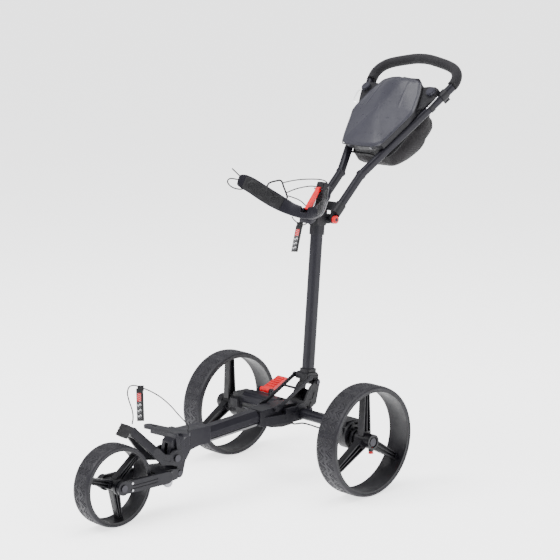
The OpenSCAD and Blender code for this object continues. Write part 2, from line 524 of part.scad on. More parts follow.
module tracking_wheel() { color("#8a8a90") P() translate([0,-462,77]) rotate([0,90,0]) difference() {
  union() { translate([0,0,9]) cylinder(r=11.5,h=10,$fn=48); for(k=[0:11]) rotate(30*k) translate([11.5,0,9]) cylinder(r=1.6,h=10,$fn=16); }
  translate([0,0,-20]) cylinder(r=3.05,h=60,$fn=24);
} }
module front_axle() { color("silver") P() { cx(-45,45,-wheelbase,RF,5); cx(45,48,-wheelbase,RF,9); cx(-48,-45,-wheelbase,RF,9); } }
module tyre_front() { color("#2a2a2e") P() translate([0,-wheelbase,RF]) tyre(RF,front_tyre_w,9); }
module wheel_front() { color("#232327") P() translate([0,-wheelbase,RF]) difference() {
  union() { rim(RF,front_tyre_w,9,15,5.05,-27,27,160,22,14,18); cx(-33,-25,0,0,20); cx(25,33,0,0,20); }
  cx(-40,40,0,0,5.05);
} }
module tyre_l() { color("#2a2a2e") P() translate([XT,0,R]) tyre(R,rear_tyre_w,10); }
module tyre_r() { color("#2a2a2e") P() translate([-XT,0,R]) tyre(R,rear_tyre_w,10); }
module wheel_l() { color("#232327") P() wheel_rear_side(1); }
module wheel_r() { color("#232327") P() wheel_rear_side(-1); }
module release_button_l() { color("red") P() release_button(1); }
module release_button_r() { color("red") P() release_button(-1); }

/* bag base support */
module foot_frame() { color("#26262b") P() difference() {
  union() {
    for (s=[-1,1]) mirror([s<0?1:0,0,0]) {
      yz(27,34) { translate([ty,tz]) circle(21,$fn=64); bar([ty-6,tz-4],[-490,146],27); bar([-490,146],[-512,168],25); }
      // arms lean in toward the tip
      hull() { yz(27,34) translate([-512,168]) circle(12,$fn=32); yz(10,16) translate([-566,226]) circle(11,$fn=32); }
    }
    yz(-16,16) bar([-562,222],[-570,232],20);
  }
  cx(-50,50,ty,tz,4.05);
  for (x=[-34.5,33.2]) yz(x,x+1.3) difference() { bar([ty-24,tz],[-488,150],9); }
} }
// rubber stop at the tip
module foot_pad() { color("#1a1a1d") P() translate([0,-583,240]) rotate([-36,0,0]) difference() {
  translate([-16,-8,-24]) cube([32,13,32]);
  for (z=[-16,-8,0]) translate([-17,-9,z]) cube([34,2,2.5]);
} }
module tag_lower() { color("#c01820") P() hull() {
  translate([1,-538,334]) rotate([0,0,50]) cube([18,2,1],center=true);
  translate([2,-537,250]) rotate([0,0,50]) cube([18,2,1],center=true);
} }
// elastic cord from the front plate up to the tag and back down to the tip
strap_l = [[26,-404,203.5],[25,-400,214],[23,-410,228],[21,-430,250],[18,-452,276],[14,-478,301],[9,-506,321],[4,-530,334],[-3,-550,343],[-8,-563,341],[-10,-568,326],[-9,-564,305],[-6,-557,280],[-3,-557,262],[-1,-562,246]];
module strap_lower() { color("#141416") P() sweep(cr(strap_l,3),1.6,1.6,8,[1,0,0]); }

main_tube();
rear_casting();
axle_arm_l();
axle_arm_r();
brake_housing_l();
brake_housing_r();
axle_pins();
stem_support();
chassis_pins();
brake_cable_box();
brake_cables();
front_casting();
front_lugs();
brake_pedal();
brake_pin_l();
brake_pin_r();
brace_bars();
stem_foot();
stem_tube();
stem_collar();
stem_head();
cradle_band();
cradle_pads();
strap_hooks();
strap_upper();
strap_tail();
tag_upper();
head_pins();
latch_lever();
latch_bail();
handle_yoke();
pivot_caps();
handle_tube_l();
handle_tube_r();
grip_core();
grip_foam();
tube_clamps();
console_tray();
console_pouch();
lid_pins();
clip_wires();
console_lid();
console_knob_l();
console_knob_r();
fork();
fork_bolts();
front_axle();
tracking_wheel();
tyre_front();
wheel_front();
tyre_l();
wheel_l();
release_button_l();
tyre_r();
wheel_r();
release_button_r();
foot_frame();
foot_pad();
tag_lower();
strap_lower();
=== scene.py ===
import bpy, bmesh, math, json
import numpy as np
from mathutils import Vector, Matrix, noise


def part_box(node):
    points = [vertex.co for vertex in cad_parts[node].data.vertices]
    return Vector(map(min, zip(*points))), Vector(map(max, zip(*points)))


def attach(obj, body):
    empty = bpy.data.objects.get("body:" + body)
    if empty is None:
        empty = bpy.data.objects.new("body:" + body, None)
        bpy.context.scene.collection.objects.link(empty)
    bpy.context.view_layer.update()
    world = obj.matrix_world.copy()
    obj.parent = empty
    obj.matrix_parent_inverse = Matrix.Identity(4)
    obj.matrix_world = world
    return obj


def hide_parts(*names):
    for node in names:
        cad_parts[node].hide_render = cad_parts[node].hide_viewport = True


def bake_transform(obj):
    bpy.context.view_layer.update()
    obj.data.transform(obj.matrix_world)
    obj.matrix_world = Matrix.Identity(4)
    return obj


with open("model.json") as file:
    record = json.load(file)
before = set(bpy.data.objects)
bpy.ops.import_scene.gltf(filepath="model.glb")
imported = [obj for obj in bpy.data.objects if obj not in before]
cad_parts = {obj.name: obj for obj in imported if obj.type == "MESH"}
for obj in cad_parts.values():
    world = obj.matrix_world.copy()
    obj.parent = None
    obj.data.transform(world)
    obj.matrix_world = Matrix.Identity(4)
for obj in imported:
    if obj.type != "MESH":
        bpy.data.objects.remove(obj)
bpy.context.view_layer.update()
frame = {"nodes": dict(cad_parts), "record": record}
REC = frame["record"]
NODE = frame["nodes"]

# ---------------------------------------------------------------- frames
_a, _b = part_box("axle_pins")
YM = (_a.y + _b.y) / 2
RZ = (_a.z + _b.z) / 2
CH, SH = math.cos(math.radians(44.1)), math.sin(math.radians(44.1))
CS, SS = math.cos(math.radians(4.8)), math.sin(math.radians(4.8))


def D(x, y, z):
    """trolley frame in millimetres, rear axle at Y = 0"""
    return Vector((x / 1000, y / 1000 + YM, z / 1000))


def H(x, s, n):
    """handle frame"""
    return D(x, 129.8 + s * CH - n * SH, 721.7 + s * SH + n * CH)


def S(x, y, z):
    """stem frame"""
    return D(x, 49 + y * CS + z * SS, 248 - y * SS + z * CS)


# ---------------------------------------------------------------- camera
az, el = math.radians(46.22), math.radians(11.08)
back = Vector((math.sin(az) * math.cos(el), -math.cos(az) * math.cos(el), math.sin(el)))
right = Vector((0, 0, 1)).cross(back).normalized()
upv = back.cross(right).normalized()
cam_d = bpy.data.cameras.new("camera")
cam_d.lens = 110.2
cam_d.sensor_width = 36.0
cam_d.clip_end = 400
cam = bpy.data.objects.new("camera", cam_d)
bpy.context.scene.collection.objects.link(cam)
m = Matrix((right, upv, back)).transposed().to_4x4()
m.translation = Vector((3.2219, -3.0341, 1.4166))
cam.matrix_world = m
bpy.context.scene.camera = cam


# ---------------------------------------------------------------- geometry helpers
def crom(p, m):
    p = [Vector(q) for q in p]
    out = []
    for i in range(len(p) - 1):
        a, b, c, d = p[max(i - 1, 0)], p[i], p[i + 1], p[min(i + 2, len(p) - 1)]
        for k in range(m):
            t = k / m
            out.append(0.5 * (2 * b + (c - a) * t + (2 * a - 5 * b + 4 * c - d) * t * t + (3 * b - a - 3 * c + d) * t ** 3))
    out.append(p[-1])
    return out


def plen(p):
    return sum((p[i + 1] - p[i]).length for i in range(len(p) - 1))


def frames(p, seed=(0, 0, 1)):
    n = len(p)
    tg = [(p[min(i + 1, n - 1)] - p[max(i - 1, 0)]).normalized() for i in range(n)]
    u = Vector(seed)
    us = []
    for t in tg:
        u = (u - t * u.dot(t)).normalized()
        us.append(u)
    return tg, us


def new_obj(name, bm, body, mats, smooth=True, cad=()):
    me = bpy.data.meshes.new(name)
    bm.normal_update()
    bm.to_mesh(me)
    bm.free()
    o = bpy.data.objects.new(name, me)
    bpy.context.scene.collection.objects.link(o)
    for mt in (mats if isinstance(mats, (list, tuple)) else [mats]):
        me.materials.append(mt)
    if smooth:
        me.polygons.foreach_set("use_smooth", [True] * len(me.polygons))
    if body:
        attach(o, body)
    if cad:
        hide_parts(*cad)
    return o


def add_tube(bm, pts, r, sides=14, seed=(0, 0, 1), rv=None, uv=None, mat=0, round_ends=True):
    """closed swept tube with domed ends; r may be a list"""
    n = len(pts)
    tg, us = frames(pts, seed)
    rr = r if isinstance(r, (list, tuple)) else [r] * n
    rings, dist = [], [0.0]
    for i in range(1, n):
        dist.append(dist[-1] + (pts[i] - pts[i - 1]).length)
    secs = [(pts[i], tg[i], us[i], rr[i], dist[i]) for i in range(n)]
    if round_ends:
        first, last = secs[0], secs[-1]
        pre = [(first[0] - first[1] * (-(1 - math.cos(a)) * first[3]), first[1], first[2], first[3] * math.sin(a), first[4]) for a in (0.35, 0.8, 1.2)]
        pst = [(last[0] - last[1] * ((1 - math.cos(a)) * last[3]), last[1], last[2], last[3] * math.sin(a), last[4]) for a in (1.2, 0.8, 0.35)]
        pre = [(p0 - first[1] * first[3] * 0.0, t, u, q, d) for p0, t, u, q, d in pre]
        # domes lie inside the end planes, so the tube keeps its length
        body = secs[1:-1]
        pre = [(first[0] + first[1] * (1 - math.sin(math.acos(min(1, q / first[3])))) * first[3] * 0.6, t, u, q, d) for p0, t, u, q, d in pre]
        pst = [(last[0] - last[1] * (1 - math.sin(math.acos(min(1, q / last[3])))) * last[3] * 0.6, t, u, q, d) for p0, t, u, q, d in pst]
        e0 = (first[0] + first[1] * first[3] * 0.62, first[1], first[2], first[3], first[4])
        e1 = (last[0] - last[1] * last[3] * 0.62, last[1], last[2], last[3], last[4])
        secs = pre + [e0] + body + [e1] + pst
    for c, t, u, q, d in secs:
        w = t.cross(u)
        q2 = q if rv is None else q * rv
        rings.append([bm.verts.new(c + u * q * math.cos(2 * math.pi * k / sides) + w * q2 * math.sin(2 * math.pi * k / sides)) for k in range(sides)])
    layer = bm.loops.layers.uv.verify()
    for i in range(len(rings) - 1):
        for k in range(sides):
            k2 = (k + 1) % sides
            f = bm.faces.new((rings[i][k], rings[i][k2], rings[i + 1][k2], rings[i + 1][k]))
            f.material_index = mat
            for lp, (uu, vv) in zip(f.loops, ((k, i), (k + 1, i), (k + 1, i + 1), (k, i + 1))):
                lp[layer].uv = (uu / sides, secs[vv][4])
    for ring, flip in ((rings[0], True), (rings[-1], False)):
        f = bm.faces.new(list(reversed(ring)) if flip else ring)
        f.material_index = mat
        for lp in f.loops:
            lp[layer].uv = (0.5, secs[0][4] if flip else secs[-1][4])
    return rings


def add_prism(bm, pts_a, pts_b, mat=0):
    """closed prism between two rings of the same count"""
    a = [bm.verts.new(p) for p in pts_a]
    b = [bm.verts.new(p) for p in pts_b]
    n = len(a)
    fs = [bm.faces.new(list(reversed(a))), bm.faces.new(b)]
    for k in range(n):
        fs.append(bm.faces.new((a[k], a[(k + 1) % n], b[(k + 1) % n], b[k])))
    for f in fs:
        f.material_index = mat
    return fs


def fix_normals(bm):
    bmesh.ops.recalc_face_normals(bm, faces=bm.faces)


def add_bevel(o, width, seg=2, angle=35):
    b = o.modifiers.new("edges", "BEVEL")
    b.width = width
    b.segments = seg
    b.limit_method = "ANGLE"
    b.angle_limit = math.radians(angle)
    b.harden_normals = False
    return b


def add_split(o, angle=35):
    s = o.modifiers.new("sharp", "EDGE_SPLIT")
    s.use_edge_angle = True
    s.use_edge_sharp = False
    s.split_angle = math.radians(angle)


# ---------------------------------------------------------------- materials
class N:
    """small helper that builds node trees"""

    def __init__(self, name, color, rough, metallic=0.0, **kw):
        self.m = bpy.data.materials.new(name)
        self.m.use_nodes = True
        self.t = self.m.node_tree
        self.t.nodes.clear()
        self.out = self.t.nodes.new("ShaderNodeOutputMaterial")
        self.b = self.t.nodes.new("ShaderNodeBsdfPrincipled")
        self.t.links.new(self.b.outputs[0], self.out.inputs[0])
        self.b.inputs["Base Color"].default_value = (*color, 1)
        self.b.inputs["Roughness"].default_value = rough
        self.b.inputs["Metallic"].default_value = metallic
        self.b.inputs["Specular IOR Level"].default_value = 0.5 if metallic > 0.8 else 0.24
        for k, v in kw.items():
            self.b.inputs[k.replace("_", " ")].default_value = v
        self.m.diffuse_color = (*color, 1)
        self.co = self.t.nodes.new("ShaderNodeTexCoord")
        self.height = None

    def node(self, kind, **kw):
        n = self.t.nodes.new(kind)
        for k, v in kw.items():
            if k in n.inputs:
                n.inputs[k].default_value = v
            else:
                setattr(n, k, v)
        return n

    def link(self, a, b):
        self.t.links.new(a, b)

    def coords(self, scale=(1, 1, 1), src="Object"):
        mp = self.node("ShaderNodeMapping")
        mp.inputs["Scale"].default_value = scale
        self.link(self.co.outputs[src], mp.inputs["Vector"])
        return mp.outputs[0]

    def noise(self, scale, detail=3.0, rough=0.55, vec=None, dist=0.0):
        n = self.node("ShaderNodeTexNoise")
        n.inputs["Scale"].default_value = scale
        n.inputs["Detail"].default_value = detail
        n.inputs["Roughness"].default_value = rough
        n.inputs["Distortion"].default_value = dist
        self.link(vec if vec is not None else self.co.outputs["Object"], n.inputs["Vector"])
        return n.outputs["Fac"]

    def voro(self, scale, feature="F1", vec=None, rnd=1.0):
        n = self.node("ShaderNodeTexVoronoi")
        n.feature = feature
        n.inputs["Scale"].default_value = scale
        n.inputs["Randomness"].default_value = rnd
        self.link(vec if vec is not None else self.co.outputs["Object"], n.inputs["Vector"])
        return n.outputs["Distance"]

    def math(self, op, a, b=0.0, c=0.0, clamp=False):
        n = self.node("ShaderNodeMath")
        n.operation = op
        n.use_clamp = clamp
        for i, v in enumerate((a, b, c)):
            if hasattr(v, "is_output"):
                self.link(v, n.inputs[i])
            else:
                n.inputs[i].default_value = v
        return n.outputs[0]

    def ramp(self, fac, stops):
        n = self.node("ShaderNodeValToRGB")
        el = n.color_ramp.elements
        while len(el) < len(stops):
            el.new(0.5)
        for e, (p, c) in zip(el, stops):
            e.position = p
            e.color = (*c, 1) if len(c) == 3 else c
        self.link(fac, n.inputs[0])
        return n.outputs[0]

    def range(self, v, a, b, c, d):
        n = self.node("ShaderNodeMapRange")
        for i, x in enumerate((a, b, c, d)):
            n.inputs[1 + i].default_value = x
        self.link(v, n.inputs[0])
        return n.outputs[0]

    def mix(self, fac, a, b, blend="MIX"):
        n = self.node("ShaderNodeMix")
        n.data_type = "RGBA"
        n.blend_type = blend
        for sock, v in ((n.inputs[0], fac), (n.inputs[6], a), (n.inputs[7], b)):
            if hasattr(v, "is_output"):
                self.link(v, sock)
            else:
                sock.default_value = v if not isinstance(v, tuple) else (*v, 1) if len(v) == 3 else v
        return n.outputs[2]

    def color(self, c):
        self.link(c, self.b.inputs["Base Color"])
        return self

    def rough(self, r):
        self.link(r, self.b.inputs["Roughness"])
        return self

    def bump(self, h, dist, strength=1.0, edge=0.0):
        b = self.node("ShaderNodeBump")
        b.inputs["Strength"].default_value = strength
        b.inputs["Distance"].default_value = dist
        self.link(h, b.inputs["Height"])
        if edge:
            bv = self.node("ShaderNodeBevel")
            bv.samples = 4
            bv.inputs["Radius"].default_value = edge
            self.link(bv.outputs[0], b.inputs["Normal"])
        if self.height is not None:
            self.link(self.height, b.inputs["Normal"])
        self.height = b.outputs[0]
        self.link(b.outputs[0], self.b.inputs["Normal"])
        return self

    def painted_edge_highlight(self, base, lit_edge_rgb, amount=1.0):
        """painted edge highlight: lighter colour along exposed edges, broken up by noise"""
        # edges found from the bevel normal; the lighter colour there is a painted highlight
        g = self.node("ShaderNodeNewGeometry")
        bv = self.node("ShaderNodeBevel")
        bv.samples = 4
        bv.inputs["Radius"].default_value = 0.0012
        dt = self.node("ShaderNodeVectorMath")
        dt.operation = "DOT_PRODUCT"
        self.link(g.outputs["Normal"], dt.inputs[0])
        self.link(bv.outputs[0], dt.inputs[1])
        p = self.range(dt.outputs["Value"], 0.82, 0.985, 1.0, 0.0)
        n = self.range(self.noise(90, 4), 0.42, 0.68, 0.0, 1.0)
        f = self.math("MULTIPLY", p, n)
        f = self.math("MULTIPLY", f, amount, clamp=True)
        return self.mix(f, base, lit_edge_rgb)


def grain(n, scale, dist, edge):
    n.bump(n.noise(scale, 2, 0.6), dist, 1.0, edge)


# anodised / powder coated tubes
def make_frame(name, c0, c1, rough, metallic):
    n = N(name, c0, rough, metallic)
    base = n.mix(n.range(n.noise(14, 5, 0.6), 0.3, 0.7, 0, 1), c0, c1)
    speck = n.range(n.noise(1500, 1, 0.5), 0.62, 0.75, 0, 0.5)
    base = n.mix(speck, base, tuple(min(1, v * 2.2) for v in c1))
    # painted edge highlight: lighter colour along the tube edges
    n.color(n.painted_edge_highlight(base, (0.075, 0.075, 0.085), 0.6))
    n.rough(n.range(n.noise(40, 4, 0.6), 0.25, 0.75, rough - 0.06, rough + 0.10))
    grain(n, 2600, 0.00006, 0.0012)
    return n.m


M_FRAME = make_frame("frame_metal", (0.0064, 0.0060, 0.0096), (0.0090, 0.0084, 0.0128), 0.34, 0.25)
M_FRAME2 = make_frame("frame_metal_dark", (0.0048, 0.0045, 0.0070), (0.0070, 0.0066, 0.0096), 0.40, 0.2)


def make_moulded(name, c0, c1, rough, gr=1900):
    n = N(name, c0, rough)
    base = n.mix(n.range(n.noise(22, 4, 0.6), 0.3, 0.7, 0, 1), c0, c1)
    # painted edge highlight: lighter grey along the moulded edges
    n.color(n.painted_edge_highlight(base, (0.055, 0.055, 0.062), 0.6))
    n.rough(n.range(n.noise(60, 3, 0.6), 0.3, 0.7, rough - 0.05, rough + 0.09))
    n.bump(n.noise(gr, 2, 0.6), 0.00012, 1.0, 0.001)
    return n.m


M_MOULD = make_moulded("moulded", (0.0042, 0.0040, 0.0056), (0.0072, 0.0068, 0.0092), 0.44)
M_WHEEL = make_moulded("wheel_plastic", (0.0040, 0.0037, 0.0054), (0.0066, 0.0062, 0.0086), 0.38)


def make_lid():
    n = N("lid_plastic", (0.032, 0.032, 0.038), 0.36, 0.0)
    base = n.mix(n.range(n.noise(9, 4, 0.55), 0.3, 0.7, 0, 1), (0.0190, 0.0187, 0.0262), (0.0262, 0.0258, 0.0345))
    n.color(base)
    n.rough(n.range(n.noise(50, 3, 0.6), 0.3, 0.7, 0.26, 0.36))
    n.b.inputs["Coat Weight"].default_value = 0.12
    n.b.inputs["Coat Roughness"].default_value = 0.3
    n.bump(n.noise(1600, 2, 0.6), 0.0001, 1.0)
    return n.m


M_LID = make_lid()


def make_red():
    n = N("red_plastic", (0.62, 0.012, 0.020), 0.34)
    base = n.mix(n.range(n.noise(60, 4, 0.6), 0.3, 0.7, 0, 1), (0.50, 0.0015, 0.0070), (0.62, 0.0030, 0.0100))
    # painted edge highlight: lighter red along the edges
    n.color(n.painted_edge_highlight(base, (0.75, 0.06, 0.06), 0.5))
    n.rough(n.range(n.noise(120, 3, 0.6), 0.3, 0.7, 0.28, 0.42))
    n.b.inputs["Coat Weight"].default_value = 0.25
    n.b.inputs["Coat Roughness"].default_value = 0.25
    n.bump(n.noise(1400, 2, 0.6), 0.00008, 1.0, 0.0008)
    return n.m


M_RED = make_red()


def make_tyre():
    n = N("tyre", (0.01088, 0.01054, 0.01326), 0.62)
    base = n.mix(n.range(n.noise(16, 5, 0.6), 0.3, 0.7, 0, 1), (0.00544, 0.00503, 0.00762), (0.00850, 0.00789, 0.01142))
    dust = n.range(n.noise(130, 5, 0.7), 0.52, 0.85, 0, 0.35)
    base = n.mix(dust, base, (0.01768, 0.01700, 0.02176))
    n.color(base)
    n.rough(n.range(n.noise(70, 4, 0.6), 0.3, 0.7, 0.42, 0.60))
    n.b.inputs["Sheen Weight"].default_value = 0.03
    n.bump(n.noise(900, 4, 0.65), 0.00018, 1.0)
    return n.m


M_TYRE = make_tyre()


def make_foam():
    n = N("foam", (0.020, 0.019, 0.022), 0.9)
    cells = n.voro(700, "F1")
    fine = n.noise(1500, 3, 0.6)
    base = n.mix(n.range(cells, 0.1, 0.7, 0, 1), (0.0030, 0.0028, 0.0036), (0.0095, 0.0088, 0.0108))
    base = n.mix(n.range(n.noise(14, 3, 0.6), 0.3, 0.7, 0, 0.5), base, (0.0115, 0.0108, 0.0135))
    n.color(base)
    n.rough(n.range(n.noise(40, 3, 0.6), 0.3, 0.7, 0.78, 0.95))
    n.b.inputs["Sheen Weight"].default_value = 0.05
    n.b.inputs["Sheen Roughness"].default_value = 0.5
    n.bump(n.math("ADD", cells, n.math("MULTIPLY", fine, 0.4)), 0.0005, 0.8)
    return n.m


M_FOAM = make_foam()


def make_rubber():
    n = N("rubber_black", (0.018, 0.018, 0.020), 0.6)
    base = n.mix(n.range(n.noise(40, 4, 0.6), 0.3, 0.7, 0, 1), (0.0040, 0.0040, 0.0048), (0.0078, 0.0075, 0.0090))
    # painted edge highlight: lighter grey along the rubber edges
    n.color(n.painted_edge_highlight(base, (0.045, 0.045, 0.050), 0.6))
    n.rough(n.range(n.noise(70, 3, 0.6), 0.3, 0.7, 0.52, 0.72))
    n.bump(n.noise(1300, 3, 0.6), 0.00015, 1.0, 0.001)
    return n.m


M_RUBBER = make_rubber()


def weave(n, scale, src="Object", over=0.5):
    """over-under cloth weave in object space, from two crossed waves"""
    mp = n.coords((1, 1, 1), src)
    sx = n.node("ShaderNodeSeparateXYZ")
    n.link(mp, sx.inputs[0])
    u = n.math("MULTIPLY", n.math("ADD", sx.outputs[0], n.math("MULTIPLY", sx.outputs[1], 0.5)), scale)
    v = n.math("MULTIPLY", n.math("ADD", sx.outputs[2], n.math("MULTIPLY", sx.outputs[1], 0.5)), scale)
    a = n.math("SINE", u)
    b = n.math("SINE", v)
    return n.math("MULTIPLY", a, b), n.math("MAXIMUM", n.math("ABSOLUTE", a), n.math("ABSOLUTE", b))


def make_net():
    n = N("net_fabric", (0.016, 0.015, 0.017), 0.82)
    w, e = weave(n, 1900)
    big = n.noise(30, 4, 0.6)
    base = n.mix(n.range(w, -0.7, 0.7, 0, 1), (0.0022, 0.0020, 0.0026), (0.0085, 0.0076, 0.0090))
    base = n.mix(n.range(big, 0.35, 0.7, 0, 0.45), base, (0.0120, 0.0102, 0.0112))
    n.color(base)
    n.rough(n.range(w, -1, 1, 0.92, 0.72))
    n.b.inputs["Sheen Weight"].default_value = 0.05
    n.b.inputs["Sheen Roughness"].default_value = 0.45
    wr = n.noise(26, 3, 0.6, dist=0.6)
    n.bump(wr, 0.006, 0.5)
    n.bump(w, 0.0004, 0.9)
    return n.m


M_NET = make_net()


def make_webbing(name, c0, c1, scale=2600):
    n = N(name, c0, 0.75)
    w, e = weave(n, scale)
    base = n.mix(n.range(w, -0.7, 0.7, 0, 1), c0, c1)
    base = n.mix(n.range(n.noise(35, 3, 0.6), 0.3, 0.7, 0, 0.4), base, tuple(v * 1.5 for v in c1))
    n.color(base)
    n.rough(n.range(w, -1, 1, 0.9, 0.7))
    n.b.inputs["Sheen Weight"].default_value = 0.06
    n.bump(w, 0.0003, 1.0)
    return n.m


M_WEB = make_webbing("webbing", (0.003, 0.003, 0.0035), (0.010, 0.010, 0.0115))


def make_elastic():
    """braided cord: two helical wave sets in the tube's own UV"""
    n = N("elastic", (0.014, 0.014, 0.016), 0.7)
    sx = n.node("ShaderNodeSeparateXYZ")
    n.link(n.co.outputs["UV"], sx.inputs[0])
    u = n.math("MULTIPLY", sx.outputs[0], math.tau * 4)
    v = n.math("MULTIPLY", sx.outputs[1], 2600)
    a = n.math("SINE", n.math("ADD", u, v))
    b = n.math("SINE", n.math("SUBTRACT", u, v))
    w = n.math("MAXIMUM", a, b)
    sh = n.noise(260, 2, 0.5)
    base = n.mix(n.range(w, -0.2, 1, 0, 1), (0.0028, 0.0028, 0.0034), (0.0100, 0.0097, 0.0114))
    base = n.mix(n.range(sh, 0.4, 0.7, 0, 0.4), base, (0.028, 0.027, 0.031))
    n.color(base)
    n.rough(n.range(w, -1, 1, 0.85, 0.6))
    n.b.inputs["Sheen Weight"].default_value = 0.2
    n.bump(w, 0.0003, 0.8)
    return n.m


M_ELASTIC = make_elastic()


def make_cable():
    n = N("cable_sheath", (0.014, 0.014, 0.015), 0.42)
    n.color(n.mix(n.range(n.noise(70, 4, 0.6), 0.3, 0.7, 0, 1), (0.0032, 0.0032, 0.0038), (0.0070, 0.0070, 0.0080)))
    n.rough(n.range(n.noise(120, 3, 0.6), 0.3, 0.7, 0.36, 0.52))
    n.bump(n.noise(1100, 2, 0.5), 0.00008)
    return n.m


M_CABLE = make_cable()


def make_metal(name, c, rough, stretch=(60, 900, 900)):
    n = N(name, c, rough, 1.0)
    vec = n.coords(stretch)
    br = n.noise(1.0, 3, 0.6, vec=vec)
    base = n.mix(n.range(n.noise(55, 4, 0.6), 0.3, 0.7, 0, 1), tuple(v * 0.8 for v in c), c)
    n.color(base)
    n.rough(n.range(br, 0.3, 0.7, rough - 0.05, rough + 0.12))
    n.bump(br, 0.00005, 0.6, 0.0006)
    return n.m


M_STEEL = make_metal("steel", (0.42, 0.42, 0.44), 0.30)
M_CHROME = make_metal("chrome", (0.66, 0.66, 0.68), 0.16)
M_PIN = make_metal("black_steel", (0.045, 0.044, 0.050), 0.36)
M_GREY = make_metal("grey_casting", (0.30, 0.30, 0.32), 0.42)


def make_label():
    """woven label: red upper part with darker bars, then pale zigzag bands, dark edge"""
    n = N("label", (0.5, 0.02, 0.03), 0.6)
    sx = n.node("ShaderNodeSeparateXYZ")
    n.link(n.co.outputs["UV"], sx.inputs[0])
    U, V = sx.outputs[0], sx.outputs[1]
    tri = n.math("PINGPONG", n.math("MULTIPLY", U, 2.0), 0.5)
    z = n.math("ADD", V, n.math("MULTIPLY", tri, 0.13))
    band = n.math("FRACT", n.math("MULTIPLY", z, 6.0))
    low = n.ramp(band, [(0.0, (0.42, 0.42, 0.43)), (0.30, (0.42, 0.42, 0.43)), (0.33, (0.006, 0.006, 0.007)), (0.62, (0.006, 0.006, 0.007)), (0.65, (0.12, 0.12, 0.125)), (0.76, (0.12, 0.12, 0.125)), (0.79, (0.006, 0.006, 0.007))])
    bar = n.math("FRACT", n.math("MULTIPLY", n.math("ADD", V, n.math("MULTIPLY", U, 0.10)), 16.0))
    red = n.ramp(bar, [(0.0, (0.50, 0.004, 0.012)), (0.60, (0.50, 0.004, 0.012)), (0.64, (0.42, 0.36, 0.36)), (0.80, (0.42, 0.36, 0.36)), (0.84, (0.50, 0.004, 0.012))])
    c = n.mix(n.range(V, 0.60, 0.61, 0, 1), low, red)
    c = n.mix(n.range(U, 0.64, 0.66, 0, 1), c, (0.006, 0.006, 0.007))
    c = n.mix(n.range(U, 0.10, 0.08, 0, 1), c, (0.006, 0.006, 0.007))
    c = n.mix(n.range(V, 0.85, 0.86, 0, 1), c, (0.006, 0.006, 0.007))
    c = n.mix(n.range(V, 0.05, 0.04, 0, 1), c, (0.006, 0.006, 0.007))
    n.color(c)
    w, e = weave(n, 5200)
    n.rough(n.range(w, -1, 1, 0.75, 0.55))
    n.b.inputs["Sheen Weight"].default_value = 0.2
    n.bump(w, 0.00015, 0.8)
    return n.m


M_LABEL = make_label()

# ---------------------------------------------------------------- cords and labels
strap_a = [D(*p) for p in [(-70, 22, 788), (-56, 37, 793), (-38, 57, 797), (-18, 80, 798), (-4, 96, 797), (4, 106, 794), (6, 115, 788), (2, 118, 779), (-8, 116, 774), (-17, 106, 774), (-19, 92, 777), (-20, 78, 779), (-30, 61, 777), (-45, 42, 771), (-60, 28, 762)]]
strap_t = [D(*p) for p in [(-58, 29, 754), (-46, 40, 749), (-34, 53, 741), (-26, 66, 727), (-22, 76, 712), (-22, 80, 695), (-22, 72, 682), (-22, 56, 676), (-26, 42, 680), (-34, 32, 690), (-42, 30, 699)]]
strap_l = [D(*p) for p in [(26, -404, 203.5), (25, -400, 214), (23, -410, 228), (21, -430, 250), (18, -452, 276), (14, -478, 301), (9, -506, 321), (4, -530, 334), (-3, -550, 343), (-8, -563, 341), (-10, -568, 326), (-9, -564, 305), (-6, -557, 280), (-3, -557, 262), (-1, -562, 246)]]


def cord_mesh(name, pts, r, body, cad, sides=14, seed=(0, 0, 1)):
    path = crom(pts, 4)
    bm = bmesh.new()
    add_tube(bm, path, r, sides, seed)
    fix_normals(bm)
    o = new_obj(name, bm, body, M_ELASTIC, cad=(cad,) if cad else ())
    return o


def label(name, top, bot, width, turn, body, cad, bow):
    """cloth label hanging from a cord, with a slight curl"""
    bm = bmesh.new()
    layer = bm.loops.layers.uv.verify()
    ax = Vector((math.cos(math.radians(turn)), math.sin(math.radians(turn)), 0))
    nrm = Vector((-math.sin(math.radians(turn)), math.cos(math.radians(turn)), 0))
    nu, nv = 10, 36
    grid = []
    for j in range(nv + 1):
        v = j / nv
        c = top.lerp(bot, v)
        row = []
        for i in range(nu + 1):
            u = i / nu
            curl = bow * (math.sin(math.pi * v) * 0.8 + 0.5 * math.sin(2.4 * math.pi * v + 0.6)) + 0.0007 * math.cos(math.pi * u) * math.sin(3.1 * v)
            row.append(bm.verts.new(c + ax * width * (u - 0.5) + nrm * curl))
        grid.append(row)
    for j in range(nv):
        for i in range(nu):
            f = bm.faces.new((grid[j][i], grid[j][i + 1], grid[j + 1][i + 1], grid[j + 1][i]))
            for lp, (a, b) in zip(f.loops, ((i, j), (i + 1, j), (i + 1, j + 1), (i, j + 1))):
                lp[layer].uv = (a / nu, 1 - b / nv)
    o = new_obj(name, bm, body, M_LABEL, cad=(cad,))
    s = o.modifiers.new("thick", "SOLIDIFY")
    s.thickness = 0.0011
    s.offset = 0
    return o


